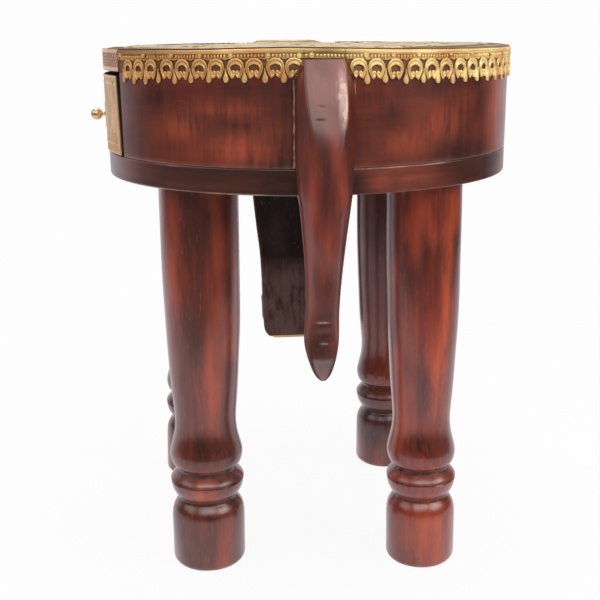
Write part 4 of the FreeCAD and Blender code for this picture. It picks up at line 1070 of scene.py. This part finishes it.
def plate_face(share, z):
    y = share * plate_half(z)
    edge_near = min(plate_half(z) - abs(y), z - plate_low, plate_high - z)
    height = 0.3 * math.sqrt(max(0.0, 1 - ((edge_near - 0.8) / 0.8) ** 2))
    # Plain bands above and below, each with a raised line on its inner side
    for line in (357.0, 315.2):
        height = max(height, 0.3 * math.sqrt(max(0.0, 1 - ((z - line) / 0.8) ** 2)))
    # A small open flower round the knob
    away = math.hypot(y, z - knob_level)
    across = abs((math.atan2(z - knob_level, y) * 8 / (2 * math.pi)) % 1 - 0.5) * 2
    along = (away - 3.5) / 8.5
    if 0 < along < 1:
        wide = 0.95 * math.sin(math.pi * along ** 0.7) ** 0.6
        if across < wide:
            petal = 0.6 * (1 - (across / wide) ** 2) ** 0.5
            height = max(height, petal * (1 - 0.4 * (across < 0.1)))
    # Pointed flames of scrollwork at both sides: lines one inside the other, and curls at the foot
    for middle, half, foot, tip in ((54.5, 7.6, 322.5, 353.0), (34.0, 6.0, 323.5, 349.0),
                                    (18.5, 4.2, 325.0, 343.0)):
        rise = (z - foot) / (tip - foot)
        off = abs(y) - middle - 0.8 * math.sin(rise * 5)
        if 0 < rise < 1:
            wide = half * math.sin(math.pi * rise ** 0.72) ** 0.8 + 0.05
            inside = abs(off) / wide
            if inside < 1.1:
                lines = 0.8
                if inside > 0.25:
                    lines = max(0.0, math.cos((inside - 0.92) * math.pi / 0.15))
                height = max(height, (0.2 + 0.35 * lines) * (0.7 + 0.3 * abs(math.sin(z * 1.5))))
        for spread, up, size in ((1.05, 2.0, 2.5), (0.95, 12.5, 1.7)):
            round_curl = math.hypot(abs(off) - half * spread, z - foot - up)
            if round_curl < size:
                height = max(height, 0.5 * abs(math.cos(round_curl * math.pi / size)))
    pips = 0.07 * max(0.0, math.sin(y * 2.2) * math.sin(z * 2.2))
    return 0.9 + height + (pips if 316.5 < z < 356 and edge_near > 2.4 else 0.0)


plate_levels = np.linspace(plate_low, plate_high, 110)
plate_shares = np.linspace(-1, 1, 260)
points, faces, relief = relief_band(
    plate_shares, plate_levels,
    lambda share, z: math.pi + math.asin(share * plate_half(z) / (skin_radius + 0.9)), plate_face)
make_piece("drawer_plate_pressed", points, faces, plate_brass, body="drawer",
           replaces=["drawer_plate"], slot="pressed_brass", sharp=75,
           relief=np.clip((np.array(relief) - 0.6) * 1.3 + 0.45, 0, 1))

# ---- Knob -------------------------------------------------------------------------------------
# A small turned brass ball on a thin stem and collar, screwed through the drawer front.
turned_brass, tree = new_material("turned_brass_knob")
place = add(tree, "TexCoord").outputs["Object"]
drift = add(tree, "TexNoise", {"Vector": place, "Scale": 160.0, "Detail": 3.0})
shade = add(tree, "ValToRGB", {"Fac": drift}, stops=[(0.32, "#b5945f"), (0.60, "#eed1a6")])
# Fingers keep the ball bright in places, and it dulls where they don't reach
dull = add(tree, "MapRange", {"Value": drift}, span=(0.3, 0.7, 0.42, 0.24))
shader = add(tree, "BsdfPrincipled", {"Base Color": shade, "Metallic": 0.8, "Roughness": dull})
add(tree, "OutputMaterial", {"Surface": shader})


def lathed(outline, columns=32):
    """A turned shape: distance out from its foot against radius, about the foot's normal."""
    points = [(out, radius * math.cos(turn), radius * math.sin(turn)) for out, radius in outline
              for turn in np.linspace(0, 2 * math.pi, columns, endpoint=False)]
    return np.array(points), skin(len(outline), columns)


ball_radius, ball_out = 4.35, 8.7
ball = [(ball_out - ball_radius * math.cos(a), ball_radius * math.sin(a))
        for a in np.radians(np.linspace(24, 176, 22))]
knob_outline = [(-28.0, 0.3), (-28.0, 1.65), (0.95, 1.65), (1.0, 2.4), (1.35, 2.75), (1.9, 2.75),
                (2.25, 2.3), (2.45, 1.75), (3.3, 1.45), (4.2, 1.5)] + ball
outline_points, faces = lathed(knob_outline)
points = np.stack([-skin_radius - outline_points[:, 0], outline_points[:, 1],
                   knob_level + outline_points[:, 2]], 1)
make_piece("drawer_knob_turned", points, faces, turned_brass, body="drawer",
           replaces=["drawer_knob"], slot="turned_brass", sharp=35)

# ---- Ears, tusks and eyes ---------------------------------------------------------------------
# Ears of thin sheesham nailed to the wall beside the head, resin tusks let into the cheeks, and
# domed brass studs for eyes. None of them shows from behind the stool.
ear_stain = lacquered_sheesham("sheesham_ear_lacquer", "#34160e", "#602619", "#782f1c", "#8e3a22",
                               rough=0.42, coat=0.15)
ear_width, ear_height = 58.0, 62.0
ear_shares = ((0.0, 0.10), (0.30, 0.0), (0.72, 0.04), (1.0, 0.28), (0.98, 0.58), (0.72, 0.86),
              (0.42, 1.0), (0.10, 0.74))
# Rings from the middle of the face over the rim to the back: share, how far out, and how rubbed
ear_rings = ((0.02, 5.3, 0), (0.2, 5.4, 0), (0.4, 5.6, 0), (0.6, 5.7, 0), (0.78, 5.7, 0),
             (0.88, 5.6, 0.2), (0.95, 5.2, 0.9), (0.985, 4.2, 0.7), (0.99, 2.0, 0.2),
             (0.99, 0.05, 0), (0.5, 0.05, 0), (0.02, 0.05, 0))
ear_level, ear_folds = wall_top - 7.4, 11
for ear, side in (("left", -1), ("right", 1)):
    root = head_offset + side * (head_width / 2 + 0.4)
    shares = through(list(ear_shares) + [ear_shares[0]], 8)[:-1]
    outline = np.stack([root + side * shares[:, 0] * ear_width,
                        ear_level - shares[:, 1] * ear_height], 1)
    hub = np.array([root + side * 0.18 * ear_width, ear_level - 0.42 * ear_height])
    around_ear = len(outline)
    points, wear = [], []
    for ring_share, out, rub in ear_rings:
        for i, (x, z) in enumerate(hub + (outline - hub) * ring_share):
            fold = math.cos(i * ear_folds * 2 * math.pi / around_ear)
            fan = 0.54 * fold * math.sin(math.pi * ring_share) ** 0.5
            radius = skin_radius + out + (fan if out > 5 and 0.1 < ring_share < 0.95 else 0)
            points.append((x, math.sqrt(radius ** 2 - x ** 2), z))
            wear.append(rub)
    points = np.array(points)
    grain = points[:, [2, 0, 1]] + np.array([2000 + 300 * side, 0, 0])
    make_piece(f"carved_ear_{ear}", points, skin(len(ear_rings), around_ear), ear_stain,
               replaces=[f"ear_{ear}"], sharp=55, grain=grain, wear=wear)

# Cast resin is cream with faint veins about 11 mm long, and a little light passes into it
resin = mottled("cast_resin_tusk", 90.0, 4.0, [(0.35, "#d8c9a6"), (0.62, "#ece3cd")], {
    "Roughness": 0.32, "IOR": 1.5, "Subsurface Weight": 0.1, "Subsurface Scale": 0.003})
for node, finish in (("tusk_left", resin), ("tusk_right", resin), ("eye_studs", turned_brass)):
    dress(node, finish)

# ---- Screws, washers, tacks and pins ----------------------------------------------------------
# Zinc-plated steel wood screws, bolts and pins, and small brass tacks that hold the sheet and lace.
# The zinc is grey with a faint spangle, and the brass has dulled to a matt yellow brown.
zinc = mottled("zinc_plated_steel", 420.0, 2.0, [(0.35, "#8d8f90"), (0.65, "#b9bbb9")],
               {"Metallic": 1.0, "Roughness": 0.38})
pin_brass = mottled("dulled_brass_pins", 300.0, 2.0, [(0.35, "#9a7438"), (0.62, "#d0a860")],
                    {"Metallic": 0.5, "Roughness": 0.45})
for node in ("base_screws", "top_screws", "carving_screws", "leg_screws", "leg_washers", "knob_nut",
             "knob_washer", "drawer_pins", "ear_nails"):
    dress(node, zinc)
for node in ("seat_tacks", "lace_tacks", "plate_tacks"):
    dress(node, pin_brass)

# ---- Studio -----------------------------------------------------------------------------------
# A pale plain floor and surround under soft light. The white paper lies close round the stool, and
# the room behind the camera is dark, so only edges and leaning faces mirror white.
def rays(tree):
    """The rays that come straight from the camera, and those that were mirrored or bent."""
    path = add(tree, "LightPath")
    mirrored = add(tree, "Math", {
        0: path.outputs["Is Glossy Ray"], 1: path.outputs["Is Transmission Ray"]},
        operation="ADD", use_clamp=True)
    return path.outputs["Is Camera Ray"], mirrored


def back_white(tree, way):
    """How white the studio is that way: white at the back of the stool, and dark elsewhere."""
    facing = add(tree, "VectorMath", {0: way, 1: (-0.08, 0.99, 0.10)}, operation="DOT_PRODUCT")
    return add(tree, "MapRange", {"Value": facing.outputs["Value"]}, span=(0.32, 0.82, 0.04, 1.0))


floor_material, tree = new_material("matt_white_floor")
camera_ray, mirror = rays(tree)
place = add(tree, "TexCoord").outputs["Object"]
split = add(tree, "SeparateXYZ", {0: place})
away = add(tree, "VectorMath", {0: place, 1: (drum_axis[0] - 0.12, drum_axis[1], 0)},
           operation="DISTANCE")
# Seen by the camera the floor is white, with a little of the stool's own shadow close to it
paper = add(tree, "MapRange", {"Value": away.outputs["Value"]}, span=(0.15, 0.75, 0.94, 1.0))
# Mirrored in lacquer and brass it is white close by and all the way back, and dark in front
reach = add(tree, "Math", {0: split.outputs["Y"], 1: -0.6, 2: away.outputs["Value"]},
            operation="MULTIPLY_ADD")
sheet_end = add(tree, "MapRange", {"Value": reach}, span=(0.70, 1.15, 0.95, 0.04))
out_from = add(tree, "VectorMath", {0: place, 1: (drum_axis[0], drum_axis[1], 0)},
               operation="SUBTRACT")
way_out = add(tree, "VectorMath", {0: out_from}, operation="NORMALIZE")
brighter = add(tree, "Math", {0: sheet_end, 1: back_white(tree, way_out)}, operation="MAXIMUM")
level = add(tree, "Mix", {0: mirror, 2: paper, 3: brighter}, data_type="FLOAT")
seen = add(tree, "Math", {0: camera_ray, 1: mirror}, operation="ADD", use_clamp=True)
share = add(tree, "Math", {0: seen, 1: paper}, operation="MULTIPLY")
paint = add(tree, "BsdfDiffuse", {"Color": linear("#e9e9e8")})
glow = add(tree, "Emission", {"Color": linear("#f8edf3"), "Strength": level})
white = add(tree, "Emission", {"Color": linear("#fdfdfd"), "Strength": 1.0})
lit = add(tree, "MixShader", {0: mirror, 1: white, 2: glow})
both = add(tree, "MixShader", {0: share, 1: paint, 2: lit})
add(tree, "OutputMaterial", {"Surface": both})
floor_mesh = bpy.data.meshes.new("floor")
floor_mesh.from_pydata([(-6, -6, 0), (6, -6, 0), (6, 6, 0), (-6, 6, 0)], [], [(0, 1, 2, 3)])
floor_mesh.materials.append(floor_material)
floor = bpy.data.objects.new("floor", floor_mesh)
bpy.context.scene.collection.objects.link(floor)

world = bpy.data.worlds.new("white_surround")
world.use_nodes = True
tree = world.node_tree
tree.nodes.clear()
camera_ray, mirror = rays(tree)
behind = back_white(tree, add(tree, "TexCoord").outputs["Generated"])
soft = add(tree, "Background", {"Color": linear("#ffffff"), "Strength": 0.50})
mirrored = add(tree, "Background", {"Color": linear("#f8ecf6"), "Strength": behind})
plain = add(tree, "Background", {"Color": linear("#fdfdfd"), "Strength": 1.0})
first = add(tree, "MixShader", {0: mirror, 1: soft, 2: mirrored})
last = add(tree, "MixShader", {0: camera_ray, 1: first, 2: plain})
add(tree, "OutputWorld", {"Surface": last})
bpy.context.scene.world = world

stool_middle = Vector((drum_axis[0], drum_axis[1], 0.2))
# Each softbox: where it stands, its width and height, and its power in watts
for name, place, size, power in (
        ("overhead_softbox", (0.0, 0.35, 1.9), (1.8, 1.2), 22),
        ("front_softbox", (-0.05, -1.25, 1.30), (1.5, 0.8), 11.5),
        ("right_softbox", (1.3, -0.9, 1.1), (1.1, 0.8), 12.0),
        ("left_softbox", (-1.5, -0.5, 1.2), (1.3, 0.8), 6.0)):
    lamp = bpy.data.lights.new(name, "AREA")
    lamp.shape = "RECTANGLE"
    lamp.size, lamp.size_y = size
    lamp.energy = power
    holder = bpy.data.objects.new(name, lamp)
    holder.location = place
    holder.rotation_mode = "QUATERNION"
    holder.rotation_quaternion = (stool_middle - Vector(place)).to_track_quat("-Z", "Y")
    bpy.context.scene.collection.objects.link(holder)

camera_data = bpy.data.cameras.new("camera")
camera_data.sensor_width = 36.0
camera_data.lens = 58.295
camera_data.clip_start, camera_data.clip_end = 0.01, 50.0
camera = bpy.data.objects.new("camera", camera_data)
heading, pitch, roll = math.radians(4.662), math.radians(15.55), math.radians(-0.61)
camera_at = (-0.0679 + drum_axis[0], -0.7550 + drum_axis[1], 0.3918)
forward = Vector((math.sin(heading) * math.cos(pitch), math.cos(heading) * math.cos(pitch),
                  -math.sin(pitch)))
level_right = Vector((math.cos(heading), -math.sin(heading), 0))
level_up = level_right.cross(forward)
right = level_right * math.cos(roll) + level_up * math.sin(roll)
up = level_up * math.cos(roll) - level_right * math.sin(roll)
camera.matrix_world = Matrix((
    (right.x, up.x, -forward.x, camera_at[0]), (right.y, up.y, -forward.y, camera_at[1]),
    (right.z, up.z, -forward.z, camera_at[2]), (0, 0, 0, 1)))
bpy.context.scene.collection.objects.link(camera)
bpy.context.scene.camera = camera
bpy.context.scene.view_settings.view_transform = "Standard"
